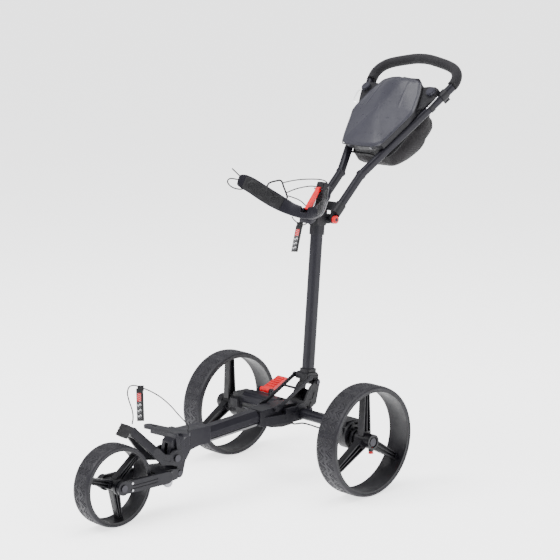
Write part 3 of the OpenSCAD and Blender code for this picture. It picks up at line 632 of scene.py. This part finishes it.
def loop_piece(name, at, turn, width, body):
    """folded webbing loop round the cord, above the label"""
    ax = Vector((math.cos(math.radians(turn)), math.sin(math.radians(turn)), 0))
    nr = Vector((-ax.y, ax.x, 0))
    prof = [(0.0012, -0.008), (0.0016, -0.003), (0.0030, 0.0005), (0.0028, 0.0034), (0.0, 0.0052), (-0.0028, 0.0034), (-0.0030, 0.0005), (-0.0016, -0.003), (-0.0012, -0.008)]
    path = crom([Vector((a, b, 0)) for a, b in prof], 4)
    bm = bmesh.new()
    inner, outer = [], []
    for i, q in enumerate(path):
        t = (path[min(i + 1, len(path) - 1)] - path[max(i - 1, 0)]).normalized()
        nn2 = Vector((-t.y, t.x, 0))
        for lst, d in ((inner, -0.00045), (outer, 0.00045)):
            w = q + nn2 * d
            lst.append([bm.verts.new(at + nr * w.x + Vector((0, 0, w.y)) + ax * width * k) for k in (-0.5, -0.46, 0, 0.46, 0.5)])
    for i in range(len(path) - 1):
        for k in range(4):
            bm.faces.new((inner[i][k], inner[i + 1][k], inner[i + 1][k + 1], inner[i][k + 1]))
            bm.faces.new((outer[i][k], outer[i][k + 1], outer[i + 1][k + 1], outer[i + 1][k]))
        for k in (0, 4):
            bm.faces.new((inner[i][k], outer[i][k], outer[i + 1][k], inner[i + 1][k]))
    for i in (0, len(path) - 1):
        for k in range(4):
            bm.faces.new((inner[i][k], inner[i][k + 1], outer[i][k + 1], outer[i][k]))
    fix_normals(bm)
    return new_obj(name, bm, body, M_WEB)


loop_u = loop_piece("label_loop_upper", D(-22.5, 41.5, 679.5), 35, 0.016, "stem")
loop_l = loop_piece("label_loop_lower", D(2.5, -536, 336.0), 50, 0.016, "foot")
lab_u = label("label_upper", D(-23, 40, 676), D(-32, 30, 604), 0.018, 35, "stem", "tag_upper", 0.0008)
lab_l = label("label_lower", D(1, -538, 334), D(2, -537, 250), 0.018, 50, "foot", "tag_lower", 0.0008)

cord_u = cord_mesh("cord_upper", strap_a, 0.0016, "stem", "strap_upper")
cord_t = cord_mesh("cord_tail", strap_t, 0.0016, "stem", "strap_tail")
cord_l = cord_mesh("cord_lower", strap_l, 0.0016, None, "strap_lower", seed=(1, 0, 0))
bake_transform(cord_l)

# ---------------------------------------------------------------- CAD nodes: surface and material
MAT_OF = {
    M_FRAME: ["main_tube", "axle_arm_l", "axle_arm_r", "stem_tube", "handle_tube_l", "handle_tube_r", "front_casting", "grip_core"],
    M_FRAME2: ["rear_casting", "front_lugs", "stem_collar", "brace_bars", "fork", "foot_frame"],
    M_MOULD: ["brake_housing_l", "brake_housing_r", "stem_support", "stem_foot", "stem_head", "handle_yoke", "tube_clamps", "console_tray", "brake_cable_box"],
    M_LID: ["console_knob_l", "console_knob_r"],
    M_WHEEL: ["wheel_l", "wheel_r", "wheel_front"],
    M_RED: ["brake_pedal", "latch_lever", "pivot_caps", "release_button_l", "release_button_r"],
    M_RUBBER: ["foot_pad"],
    M_PIN: ["axle_pins", "chassis_pins", "brake_pin_l", "brake_pin_r", "head_pins", "front_axle", "lid_pins"],
    M_STEEL: ["fork_bolts"],
    M_GREY: ["tracking_wheel"],
    M_CHROME: ["clip_wires", "latch_bail"],
}
for mat, names in MAT_OF.items():
    for nm in names:
        o = NODE[nm]
        me = o.data
        if not me.materials:
            me.materials.append(mat)
        for i in range(len(me.materials)):
            me.materials[i] = mat
        for an in ("custom_normal",):
            if an in me.attributes:
                me.attributes.remove(me.attributes[an])
        me.polygons.foreach_set("use_smooth", [True] * len(me.polygons))
        w = o.modifiers.new("weld", "WELD")
        w.merge_threshold = 0.00002
        add_split(o, 32)


# ---------------------------------------------------------------- tyres with moulded tread
def tread_depth(u, v, period, half):
    """0..1 groove depth at circumferential place u and lateral place v, in millimetres"""
    segs = [((1.5, 21), (12.875, 3.5)), ((12.875, 3.5), (24.25, 21)), ((7.4, 21), (12.875, 12.2)), ((12.875, 12.2), (18.35, 21)), ((-3.2, 4.5), (0, 9.4)), ((0, 9.4), (3.2, 4.5))]
    sc = period / 25.75
    depth = np.zeros_like(u)
    for side, shift in ((1, 0.0), (-1, 0.5 * period)):
        uu = np.mod(u + shift, period)
        vv = v * side
        best = np.full_like(u, 1e9)
        for (ax, ay), (bx, by) in segs:
            ax, bx = ax * sc, bx * sc
            ay, by = ay * half / 24.0, by * half / 24.0
            for off in (-period, 0, period):
                dx, dy = bx - ax, by - ay
                t = np.clip(((uu - ax - off) * dx + (vv - ay) * dy) / (dx * dx + dy * dy), 0, 1)
                dd = np.hypot(uu - ax - off - t * dx, vv - ay - t * dy)
                best = np.minimum(best, dd)
        g = 1 - np.clip((best - 0.95) / 0.95, 0, 1)
        g = g * g * (3 - 2 * g)
        depth = np.maximum(depth, np.where(vv > -0.2, g, 0))
    return depth


def tyre(name, centre_x, y, z, r, w, t, body, cad, count, blocks):
    prof = []
    q = w / 2

    def seg(a, b, n):
        for i in range(n):
            prof.append((a[0] + (b[0] - a[0]) * i / n, a[1] + (b[1] - a[1]) * i / n))

    # radius and lateral place, from the inner bead over the tread to the other bead
    seg((r - t, -q + 1), (r - t + 1.5, -q), 2)
    seg((r - t + 1.5, -q), (r - 5.4, -q + 0.15), 3)
    for a in np.linspace(0, math.pi / 2, 7)[:-1]:
        prof.append((r - 5.4 + 3.4 * math.sin(a), -q + 0.15 + 2.6 * (1 - math.cos(a))))
    x0 = q - 2.9
    nt = int(round(2 * x0 / 0.95))
    for i in range(nt + 1):
        x = -x0 + 2 * x0 * i / nt
        e = max(0.0, (abs(x) - (q - 13)) / 10.1)
        prof.append((r - 0.15 - 1.85 * e ** 1.7, x))
    right_side = [(a, -b) for a, b in prof[:11]][::-1]
    prof += right_side
    m = len(prof)
    n = count
    P = np.array(prof)
    ang = np.linspace(0, 2 * math.pi, n, endpoint=False)
    A, R0 = np.meshgrid(ang, P[:, 0], indexing="ij")
    _, X0 = np.meshgrid(ang, P[:, 1], indexing="ij")
    period = 2 * math.pi * r / blocks
    on = (np.abs(X0) < q - 3.2) & (R0 > r - 3)
    dep = tread_depth(A * r, X0, period, q - 6)
    fade = np.clip((q - 3.4 - np.abs(X0)) / 1.4, 0, 1)
    R1 = R0 - np.where(on, dep * 1.7 * fade, 0)
    co = np.stack([X0 / 1000 + centre_x, (R1 * np.cos(A)) / 1000 + y, (R1 * np.sin(A)) / 1000 + z], -1).reshape(-1, 3)
    idx = np.arange(n * m).reshape(n, m)
    a = idx[:, :-1]
    b = idx[:, 1:]
    c = np.roll(idx, -1, 0)[:, 1:]
    d = np.roll(idx, -1, 0)[:, :-1]
    faces = np.stack([a, d, c, b], -1).reshape(-1, 4)
    closing = np.stack([idx[:, -1], np.roll(idx, -1, 0)[:, -1], np.roll(idx, -1, 0)[:, 0], idx[:, 0]], -1)
    faces = np.concatenate([faces, closing])
    me = bpy.data.meshes.new(name)
    me.from_pydata([tuple(v) for v in co], [], [tuple(int(i) for i in f) for f in faces])
    me.update()
    bm = bmesh.new()
    bm.from_mesh(me)
    fix_normals(bm)
    bm.to_mesh(me)
    bm.free()
    me.materials.append(M_TYRE)
    me.polygons.foreach_set("use_smooth", [True] * len(me.polygons))
    o = bpy.data.objects.new(name, me)
    bpy.context.scene.collection.objects.link(o)
    add_split(o, 50)
    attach(o, body)
    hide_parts(cad)
    return o


lo_f, hi_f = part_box("tyre_front")
RF = (hi_f.z - lo_f.z) / 2 * 1000
yf = (lo_f.y + hi_f.y) / 2
lo_r, hi_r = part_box("tyre_l")
RR = (hi_r.z - lo_r.z) / 2 * 1000
dens = 1.0
tyre("tyre_left", (lo_r.x + hi_r.x) / 2, YM, RZ, RR, (hi_r.x - lo_r.x) * 1000, 10, "wheel_left", "tyre_l", int(972 * dens), 27)
lo_q, hi_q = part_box("tyre_r")
tyre("tyre_right", (lo_q.x + hi_q.x) / 2, YM, RZ, RR, (hi_q.x - lo_q.x) * 1000, 10, "wheel_right", "tyre_r", int(972 * dens), 27)
tyre("tyre_front_tread", 0.0, yf, (lo_f.z + hi_f.z) / 2, RF, (hi_f.x - lo_f.x) * 1000, 9, "front_wheel", "tyre_front", int(700 * dens), 20)


# ---------------------------------------------------------------- foam grip
gp = [(150.5, 448, 0), (152.5, 460, 0), (152.5, 474, 2), (147, 488, 4), (137, 499, 6), (122, 508, 8), (100, 515, 10), (75, 521, 11), (50, 526, 12), (25, 530, 13), (0, 531, 13.5)]
gpath = gp + [(-a, b, c) for a, b, c in gp[-2::-1]]
path = crom([H(*p) for p in gpath], 4)
bm = bmesh.new()
tg, us = frames(path, (0, 0, 1))
add_tube(bm, path, 0.0145, 32, (0, 0, 1))
fix_normals(bm)
grip = new_obj("grip_cover", bm, "handle", M_FOAM, cad=("grip_foam",))

# ---------------------------------------------------------------- bent wires and sheathed cables
hook_a = [D(*p) for p in [(-60, 31, 746), (-60, 28, 757), (-68, 25, 777), (-72, 19, 794), (-78, 3, 794), (-86, -12, 789), (-91, -15, 776), (-92, 2, 762), (-92, 12, 754)]]
hook_b = [D(*p) for p in [(-156, -30, 772), (-162, -46, 768), (-172, -68, 775), (-180, -77, 789), (-178, -69, 798), (-172, -44, 793)]]
hook_c = [D(*p) for p in [(-168, -36, 798), (-171, -44, 806), (-176, -64, 825)]]
bm = bmesh.new()
add_tube(bm, crom(hook_a, 4), 0.0024, 14, (1, 0, 0))
add_tube(bm, crom(hook_b, 4), 0.0018, 14, (1, 0, 0))
add_tube(bm, crom(hook_c, 4), 0.0018, 14, (1, 0, 0))
fix_normals(bm)
new_obj("hooks", bm, "stem", M_RUBBER, cad=("strap_hooks",))

cable = [(15.1, -28, 150), (30, -31, 149), (48, -34, 154), (70, -36, 160), (95, -36, 161), (125, -34, 159), (155, -31, 158), (179.9, -28, 160)]
bm = bmesh.new()
for sx in (1, -1):
    add_tube(bm, crom([D(sx * a, b, c) for a, b, c in cable], 5), 0.0022, 14)
fix_normals(bm)
new_obj("brake_cable_sheaths", bm, "chassis", M_CABLE, cad=("brake_cables",))


# ---------------------------------------------------------------- socket screws in the pivot caps
def screw(bm, c, axis, r, t):
    """low domed screw head with a hexagon socket, facing along axis (+1 or -1 in X)"""
    prof = [(r, 0), (r, t * 0.55), (r * 0.9, t * 0.85), (r * 0.72, t)]
    n = 36
    rings = []
    for q, h in prof:
        rings.append([bm.verts.new(c + Vector((axis * h, q * math.cos(2 * math.pi * k / n), q * math.sin(2 * math.pi * k / n)))) for k in range(n)])
    for q, h in ((0.46, t), (0.46, t * 0.35)):
        ring = []
        for k in range(n):
            a = 2 * math.pi * k / n
            w = (a + math.pi / 6) % (math.pi / 3) - math.pi / 6
            rr = r * q / math.cos(w)
            ring.append(bm.verts.new(c + Vector((axis * h, rr * math.cos(a), rr * math.sin(a)))))
        rings.append(ring)
    for i in range(len(rings) - 1):
        for k in range(n):
            bm.faces.new((rings[i][k], rings[i][(k + 1) % n], rings[i + 1][(k + 1) % n], rings[i + 1][k]))
    bm.faces.new(rings[0])
    bm.faces.new(rings[-1])


pl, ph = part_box("pivot_caps")
bm = bmesh.new()
for sx in (1, -1):
    screw(bm, Vector((sx * (ph.x - 0.0002), (pl.y + ph.y) / 2, (pl.z + ph.z) / 2)), sx, 0.0048, 0.0012)
fix_normals(bm)
cs = new_obj("cap_screws", bm, "handle", M_PIN)
add_split(cs, 35)

# ---------------------------------------------------------------- cradle: smooth band, pads
band = [(-176, -41, 792), (-162, -32, 787), (-145, -20, 777), (-122, -3, 759), (-98, 12, 743), (-72, 25, 729), (-48, 34, 719), (-24, 38, 714), (0, 39, 712)]
bh = [30, 40, 42, 43, 43, 40, 35, 33, 32]
band_all = band + [(-a, b, c) for a, b, c in band[-2::-1]]
h_all = bh + bh[-2::-1]


def ribbon_frame(pts):
    n = len(pts)
    tg = [(pts[min(i + 1, n - 1)] - pts[max(i - 1, 0)]).normalized() for i in range(n)]
    nn = [t.cross(Vector((0, 0.25, 1))).normalized() for t in tg]
    uu = [a.cross(t).normalized() for a, t in zip(nn, tg)]
    return tg, nn, uu


def lerp_list(v, m):
    out = []
    for i in range(len(v) - 1):
        for k in range(m):
            out.append(v[i] + (v[i + 1] - v[i]) * k / m)
    return out + [v[-1]]


MB = 6
bp = crom([D(*p) for p in band_all], MB)
hh = lerp_list(h_all, MB)
tg, nn, uu = ribbon_frame(bp)
bm = bmesh.new()
rings = []
for i, p in enumerate(bp):
    h = hh[i] / 2000
    top = h
    if abs(p.x) < 0.0125:
        lim = (0.7135 - p.z) / max(0.2, uu[i].z)
        top = min(h, lim)
    e = 0.0016
    end = min(i, len(bp) - 1 - i)
    sh = 1.0 if end > 3 else (0.72, 0.88, 0.95, 0.985)[end]
    th = 0.0070
    sec = [(0 + e, -h * sh), (0, -h * sh + e), (0, top * sh - e), (e, top * sh), (th - e, top * sh), (th, top * sh - e), (th, -h * sh + e), (th - e, -h * sh)]
    rings.append([bm.verts.new(p + nn[i] * a + uu[i] * b) for a, b in sec])
for i in range(len(rings) - 1):
    for k in range(8):
        bm.faces.new((rings[i][k], rings[i][(k + 1) % 8], rings[i + 1][(k + 1) % 8], rings[i + 1][k]))
bm.faces.new(list(reversed(rings[0])))
bm.faces.new(rings[-1])
# clamp boss around the stem head, split either side of the lever slot
boss = [(36, 686), (44, 684), (60, 691), (66, 713), (60, 715), (40, 713)]
add_prism(bm, [D(-20, y, z) for y, z in boss], [D(20, y, z) for y, z in boss])
for sx in (-1, 1):
    chk = [(38, 709), (62, 711), (64, 716), (62, 723.5), (42, 723.5)]
    a, b = (9.2, 20) if sx > 0 else (-20, -9.2)
    add_prism(bm, [D(a, y, z) for y, z in chk], [D(b, y, z) for y, z in chk])
fix_normals(bm)
bandobj = new_obj("cradle_arms", bm, "stem", M_FRAME, cad=("cradle_band",))
add_bevel(bandobj, 0.0012, 2, 40)
add_split(bandobj, 35)


def pad(name, sx):
    """moulded foam pad with three raised rings"""
    pts = crom([D(*p) for p in band[1:6]], 14)
    hts = lerp_list([33, 35, 36, 36, 33], 14)
    tg, nn, uu = ribbon_frame(crom([D(*p) for p in band], 14)[14:14 * 5 + 1])
    L = plen(pts)
    nv = 36
    bm = bmesh.new()
    front, back_ = [], []
    s = 0.0
    centres = [L * 0.20, L * 0.50, L * 0.80]
    for i, p in enumerate(pts):
        if i:
            s += (p - pts[i - 1]).length
        du = min(s, L - s)
        fr, bk = [], []
        for j in range(nv + 1):
            v = (j / nv - 0.5)
            hgt = hts[i] / 1000
            rx = min(1.0, du / 0.006)
            edge = min(du, (0.5 - abs(v)) * hgt)
            crown = min(1.0, max(0.0, edge / 0.0045)) ** 0.5
            sq = 1 - 0.10 * (1 - rx) ** 2
            ring = 0.0
            for c in centres:
                dx, dy = abs(s - c), abs(v * hgt)
                hx = max(dx * 0.866 + dy * 0.5, dy)
                ring = max(ring, math.exp(-((hx - 0.0102) / 0.0017) ** 2))
                ring = max(ring, 0.75 * math.exp(-((hx - 0.0040) / 0.0016) ** 2))
            off = 0.0072 + 0.0024 * crown + 0.0022 * ring * min(1, edge / 0.003)
            q = p + nn[i] * off + uu[i] * v * hgt * sq
            r = p + nn[i] * 0.0071 + uu[i] * v * hgt * sq
            fr.append(bm.verts.new(Vector((q.x * sx, q.y, q.z))))
            bk.append(bm.verts.new(Vector((r.x * sx, r.y, r.z))))
        front.append(fr)
        back_.append(bk)
    n = len(pts)
    for i in range(n - 1):
        for j in range(nv):
            bm.faces.new((front[i][j], front[i + 1][j], front[i + 1][j + 1], front[i][j + 1]))
            bm.faces.new((back_[i][j], back_[i][j + 1], back_[i + 1][j + 1], back_[i + 1][j]))
        for j in (0, nv):
            bm.faces.new((front[i][j], back_[i][j], back_[i + 1][j], front[i + 1][j]))
    for j in range(nv):
        for i in (0, n - 1):
            bm.faces.new((front[i][j], front[i][j + 1], back_[i][j + 1], back_[i][j]))
    fix_normals(bm)
    o = new_obj(name, bm, "stem", M_RUBBER)
    return o


pads = [pad("cradle_pad_right", 1), pad("cradle_pad_left", -1)]
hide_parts("cradle_pads")

# ---------------------------------------------------------------- console lid
lid_o = [(0, 190), (52, 192), (74, 202), (104, 290), (112, 326), (92, 392), (70, 432), (40, 441), (0, 444), (-40, 441), (-70, 432), (-92, 392), (-112, 326), (-104, 290), (-74, 202), (-52, 192)]
mid = [(-34, 214), (34, 214), (72, 304), (66, 330), (50, 432), (-50, 432), (-66, 330), (-72, 304)]
top = [(-10, 330), (0, 306), (10, 330), (24, 404), (18, 428), (-18, 428), (-24, 404)]


def lid_hull(grow):
    bm = bmesh.new()
    vs = []
    for x, s in lid_o:
        vs.append(bm.verts.new(H(x, s, 27.4)))
        vs.append(bm.verts.new(H(x, s, 30.3)))
    for x, s in mid:
        vs.append(bm.verts.new(H(x, s, 38.5)))
    for x, s in top:
        vs.append(bm.verts.new(H(x, s, 54.5)))
    res = bmesh.ops.convex_hull(bm, input=vs)
    junk = [g for g in res["geom_interior"] if isinstance(g, bmesh.types.BMVert)]
    bmesh.ops.delete(bm, geom=junk, context="VERTS")
    bmesh.ops.dissolve_limit(bm, angle_limit=math.radians(1.0), verts=bm.verts, edges=bm.edges)
    up = (H(0, 0, 1) - H(0, 0, 0)).normalized()
    bm.normal_update()
    low = [f for f in bm.faces if f.normal.dot(up) < -0.9]
    bmesh.ops.delete(bm, geom=low, context="FACES")
    return bm


from mathutils.bvhtree import BVHTree
hb = lid_hull(0)
tree = BVHTree.FromBMesh(hb)
hb.free()
UPH = (H(0, 0, 1) - H(0, 0, 0)).normalized()


def dense_outline(m):
    out = []
    for i in range(len(lid_o)):
        a, b = lid_o[i], lid_o[(i + 1) % len(lid_o)]
        L = math.hypot(b[0] - a[0], b[1] - a[1])
        c = max(2, int(L / m))
        out += [(a[0] + (b[0] - a[0]) * k / c, a[1] + (b[1] - a[1]) * k / c) for k in range(c)]
    pts = np.array(out)
    for _ in range(4):
        pts = pts * 0.5 + (np.roll(pts, 1, 0) + np.roll(pts, -1, 0)) * 0.25
    return pts


edge_pts = dense_outline(3.4)
NR = 54
CX, CS2 = 0.0, 322.0
ks = np.concatenate([[1.0, 0.997, 0.985], np.linspace(0.972, 0.05, NR)])
XX = np.array([[CX + (x - CX) * k for x, _ in edge_pts] for k in ks])
SV = np.array([[CS2 + (q - CS2) * k for _, q in edge_pts] for k in ks])
HT = np.zeros_like(XX)
for a in range(XX.shape[0]):
    for b in range(XX.shape[1]):
        xq, sq = XX[a, b], SV[a, b]
        o3 = H(CX + (xq - CX) * 0.995, CS2 + (sq - CS2) * 0.995, 120)
        hit = (None,)
        for dx, ds in ((0, 0), (0.35, 0.2), (-0.35, -0.2), (0.2, -0.5), (-0.3, 0.6)):
            o3 = H(CX + (xq - CX) * 0.995 + dx, CS2 + (sq - CS2) * 0.995 + ds, 120)
            hit = tree.ray_cast(o3, -UPH)
            if hit[0] is not None:
                break
        HT[a, b] = 120 - (hit[0] - o3).length * 1000 if hit[0] is not None else 30.3
stack = np.stack([np.roll(HT, d, 1) for d in (-2, -1, 0, 1, 2)] + [np.vstack([HT[:1], HT[:-1]]), np.vstack([HT[1:], HT[-1:]])])
med = np.median(stack, axis=0)
HT = np.where(np.abs(HT - med) > 0.35, med, HT)
for it in range(84):
    nb = (np.roll(HT, 1, 1) + np.roll(HT, -1, 1) + np.vstack([HT[:1], HT[:-1]]) + np.vstack([HT[1:], HT[-1:]])) / 4
    w = np.clip((1 - ks) / 0.08, 0, 1)[:, None]
    HT = HT * (1 - 0.7 * w) + nb * 0.7 * w
HT[-1, :] = HT[-1, :].mean()
# bead inside the rim, raised side ribs, thumb recess with its U-shaped rib
kk = ks[:, None] * np.ones_like(XX)
HT += 1.3 * np.exp(-((kk - 0.952) / 0.011) ** 2)
rib = np.exp(-((np.abs(XX) - (60 - (SV - 330) * 0.16)) / 1.7) ** 2) * np.clip((SV - 322) / 16, 0, 1) * np.clip((426 - SV) / 10, 0, 1)
HT += 1.1 * rib
ud = np.where(SV > 424, np.abs(XX), np.hypot(XX, SV - 424))
rc = 1 / (1 + np.exp((ud - 8.0) / 0.7))
HT -= 2.4 * rc * np.clip((0.985 - kk) / 0.02, 0, 1)
HT += 0.9 * np.exp(-((ud - 10.2) / 1.1) ** 2) * (kk < 0.97)
HT[0, :] = 27.4
HT[1, :] = 29.7
HT[2, :] = np.minimum(HT[2, :], 30.6)
HT = np.minimum(HT, 54.4)
bm = bmesh.new()
nb_ = len(edge_pts)
VV = [[bm.verts.new(H(XX[a, b], SV[a, b], HT[a, b])) for b in range(nb_)] for a in range(len(ks))]
for a in range(len(ks) - 1):
    for b in range(nb_):
        bm.faces.new((VV[a][b], VV[a][(b + 1) % nb_], VV[a + 1][(b + 1) % nb_], VV[a + 1][b]))
bm.faces.new([VV[-1][b] for b in range(nb_)])
bm.normal_update()
if sum(f.normal.dot(UPH) for f in bm.faces) < 0:
    bmesh.ops.reverse_faces(bm, faces=bm.faces)
lid = new_obj("lid_shell", bm, "lid", M_LID, cad=("console_lid",))
so = lid.modifiers.new("wall", "SOLIDIFY")
so.thickness = 0.0022
so.offset = -1
add_split(lid, 42)
# hinge lugs and rim lip
bm = bmesh.new()
for sx in (1, -1):
    ring = [(190.5, 22), (191.2, 20), (194, 18.6), (196.8, 20), (197.5, 22), (197.5, 29.4), (190.5, 29.4)]
    add_prism(bm, [H(sx * 36, s, n) for s, n in ring], [H(sx * 44, s, n) for s, n in ring])
fix_normals(bm)
lugs = new_obj("lid_lugs", bm, "lid", M_LID)
add_bevel(lugs, 0.0006, 2, 40)
add_split(lugs, 35)
bm = bmesh.new()
rim = [H(x * 0.988, 316 + (s - 316) * 0.988, 28.6) for x, s in lid_o]
loop = crom(rim + [rim[0]], 3)
add_tube(bm, loop, 0.0017, 8, (0, 0, 1), round_ends=False)
fix_normals(bm)
lip = new_obj("lid_lip", bm, "lid", M_MOULD)
add_bevel(lip, 0.0008, 2, 30)
add_split(lip, 40)


# ---------------------------------------------------------------- pouch
def pouch():
    bm = bmesh.new()
    lv = [(-13.4, [(-74, 200), (74, 200), (94, 300), (84, 400), (-84, 400), (-94, 300)]), (-60, [(-70, 198), (70, 198), (92, 300), (84, 398), (-84, 398), (-92, 300)]), (-100, [(-50, 262), (50, 262), (80, 310), (72, 384), (-72, 384), (-80, 310)])]
    vs = []
    k = 0.975
    for n, poly in lv:
        for x, s in poly:
            vs.append(bm.verts.new(H(x * k, 304 + (s - 304) * k, n)))
    res = bmesh.ops.convex_hull(bm, input=vs)
    junk = [g for g in res["geom_interior"] if isinstance(g, bmesh.types.BMVert)]
    bmesh.ops.delete(bm, geom=junk, context="VERTS")
    fix_normals(bm)
    bmesh.ops.bevel(bm, geom=list(bm.edges), offset=0.010, segments=3, profile=0.5, affect="EDGES", clamp_overlap=True)
    o = new_obj("pouch_body", bm, None, M_NET)
    rm = o.modifiers.new("re", "REMESH")
    rm.mode = "VOXEL"
    rm.voxel_size = 0.005
    bpy.context.view_layer.update()
    dg = bpy.context.evaluated_depsgraph_get()
    me = bpy.data.meshes.new_from_object(o.evaluated_get(dg))
    o.modifiers.clear()
    old = o.data
    o.data = me
    bpy.data.meshes.remove(old)
    start = np.array([v.co for v in me.vertices])
    up = np.array((H(0, 0, 1) - H(0, 0, 0)).normalized())
    org = np.array(H(0, 0, 0))
    cl = o.modifiers.new("cloth", "CLOTH")
    st = cl.settings
    st.quality = 5
    st.mass = 0.2
    st.tension_stiffness = 12
    st.compression_stiffness = 4
    st.shear_stiffness = 3
    st.bending_stiffness = 0.4
    st.use_pressure = True
    st.uniform_pressure_force = 4.0
    st.effector_weights.gravity = 0.0
    cl.collision_settings.use_collision = False
    sc = bpy.context.scene
    for f in range(1, 21):
        sc.frame_set(f)
    dg = bpy.context.evaluated_depsgraph_get()
    ev = o.evaluated_get(dg)
    end = np.array([v.co for v in ev.data.vertices])
    o.modifiers.clear()
    sc.frame_set(1)
    if len(end) == len(start):
        mv = end - start
        ln = np.linalg.norm(mv, axis=1)
        cap = 0.008
        mv *= np.where(ln > cap, cap / np.maximum(ln, 1e-9), 1.0)[:, None]
    else:
        mv = np.zeros_like(start)
    n = (start - org) @ up * 1000
    s_ax = np.array((H(0, 1, 0) - H(0, 0, 0)).normalized())
    sv = (start - org) @ s_ax * 1000
    free = np.clip((-16 - n) / 14, 0, 1)[:, None]
    pos = start + mv * free
    # weight of the cloth: belly hangs, folds gather below the rim
    g = np.array((0, 0, -1.0))
    lowness = np.clip((-30 - n) / 70, 0, 1)[:, None]
    pos = pos + g * 0.003 * lowness
    x = start[:, 0] * 1000
    fold = (np.sin(x / 9.0 + 0.02 * n * 3) * 0.5 + np.sin(sv / 12.0 + 1.3 + x / 31.0) * 0.5) * np.exp(-((n + 34) / 26) ** 2)
    cen = np.array(H(0, 304, -50))
    outw = pos - cen
    outw -= np.outer(outw @ up, up)
    ln = np.linalg.norm(outw, axis=1)[:, None]
    outw = outw / np.maximum(ln, 1e-9)
    side = np.clip((ln - 0.045) / 0.03, 0, 1)
    pos = pos + outw * (fold[:, None] * 0.0016) * free * side
    me.vertices.foreach_set("co", pos.astype(np.float32).ravel())
    me.update()
    me.polygons.foreach_set("use_smooth", [True] * len(me.polygons))
    if not me.materials:
        me.materials.append(M_NET)
    ss = o.modifiers.new("sub", "SUBSURF")
    ss.levels = 1
    ss.render_levels = 1
    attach(o, "handle")
    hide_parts("console_pouch")
    return o


pch = pouch()
# stitched binding round the mouth
bm = bmesh.new()
mouth = [(-74, 200), (0, 199), (74, 200), (94, 300), (84, 400), (0, 401), (-84, 400), (-94, 300)]
ring = crom([H(x * 0.985, 304 + (s - 304) * 0.985, -15.5) for x, s in mouth + [mouth[0]]], 8)
add_tube(bm, ring, 0.0026, 10, (0, 0, 1), round_ends=False)
fix_normals(bm)
bind = new_obj("pouch_binding", bm, "handle", M_WEB)
# neck sleeve inside the tray
bm = bmesh.new()
neck = [(-48, 202), (48, 202), (82, 306), (82, 398), (-82, 398), (-82, 306)]
add_prism(bm, [H(x, s, -14.5) for x, s in neck], [H(x, s, 12.6) for x, s in neck])
fix_normals(bm)
nk = new_obj("pouch_neck", bm, "handle", M_WEB)
add_bevel(nk, 0.003, 3, 30)
add_split(nk, 40)

# ---------------------------------------------------------------- floor and light
bm = bmesh.new()
R = 90.0
ringv = [bm.verts.new((R * math.cos(2 * math.pi * k / 64), R * math.sin(2 * math.pi * k / 64), 0)) for k in range(64)]
bm.faces.new(ringv)
me = bpy.data.meshes.new("floor")
bm.to_mesh(me)
bm.free()
floor = bpy.data.objects.new("floor", me)
bpy.context.scene.collection.objects.link(floor)
nf = N("floor_paint", (0.93, 0.93, 0.935), 0.9)
nf.b.inputs["Emission Color"].default_value = (1, 1, 1, 1)
nf.b.inputs["Emission Strength"].default_value = 2.0
nf.color(nf.mix(nf.range(nf.noise(0.6, 2, 0.5), 0.3, 0.7, 0, 1), (0.93, 0.93, 0.935), (0.945, 0.945, 0.95)))
me.materials.append(nf.m)

wd = bpy.data.worlds.new("studio")
bpy.context.scene.world = wd
wd.use_nodes = True
bg = wd.node_tree.nodes["Background"]
bg.inputs[0].default_value = (0.97, 0.98, 1.0, 1)
bg.inputs[1].default_value = 0.72


def area(name, loc, target, size, power, col=(1, 1, 1)):
    l = bpy.data.lights.new(name, "AREA")
    l.shape = "RECTANGLE"
    l.size, l.size_y = size
    l.energy = power
    l.color = col
    o = bpy.data.objects.new(name, l)
    bpy.context.scene.collection.objects.link(o)
    d = (Vector(target) - Vector(loc)).normalized()
    o.rotation_euler = d.to_track_quat("-Z", "Y").to_euler()
    o.location = loc
    return o


area("key", (-1.2, -2.6, 3.6), (0, 0, 0.4), (2.2, 2.2), 230)
area("top", (0.3, 0.4, 4.0), (0, 0, 0.3), (3.0, 3.0), 170)
area("side", (3.4, 0.9, 2.2), (0, 0, 0.6), (1.4, 2.4), 45)
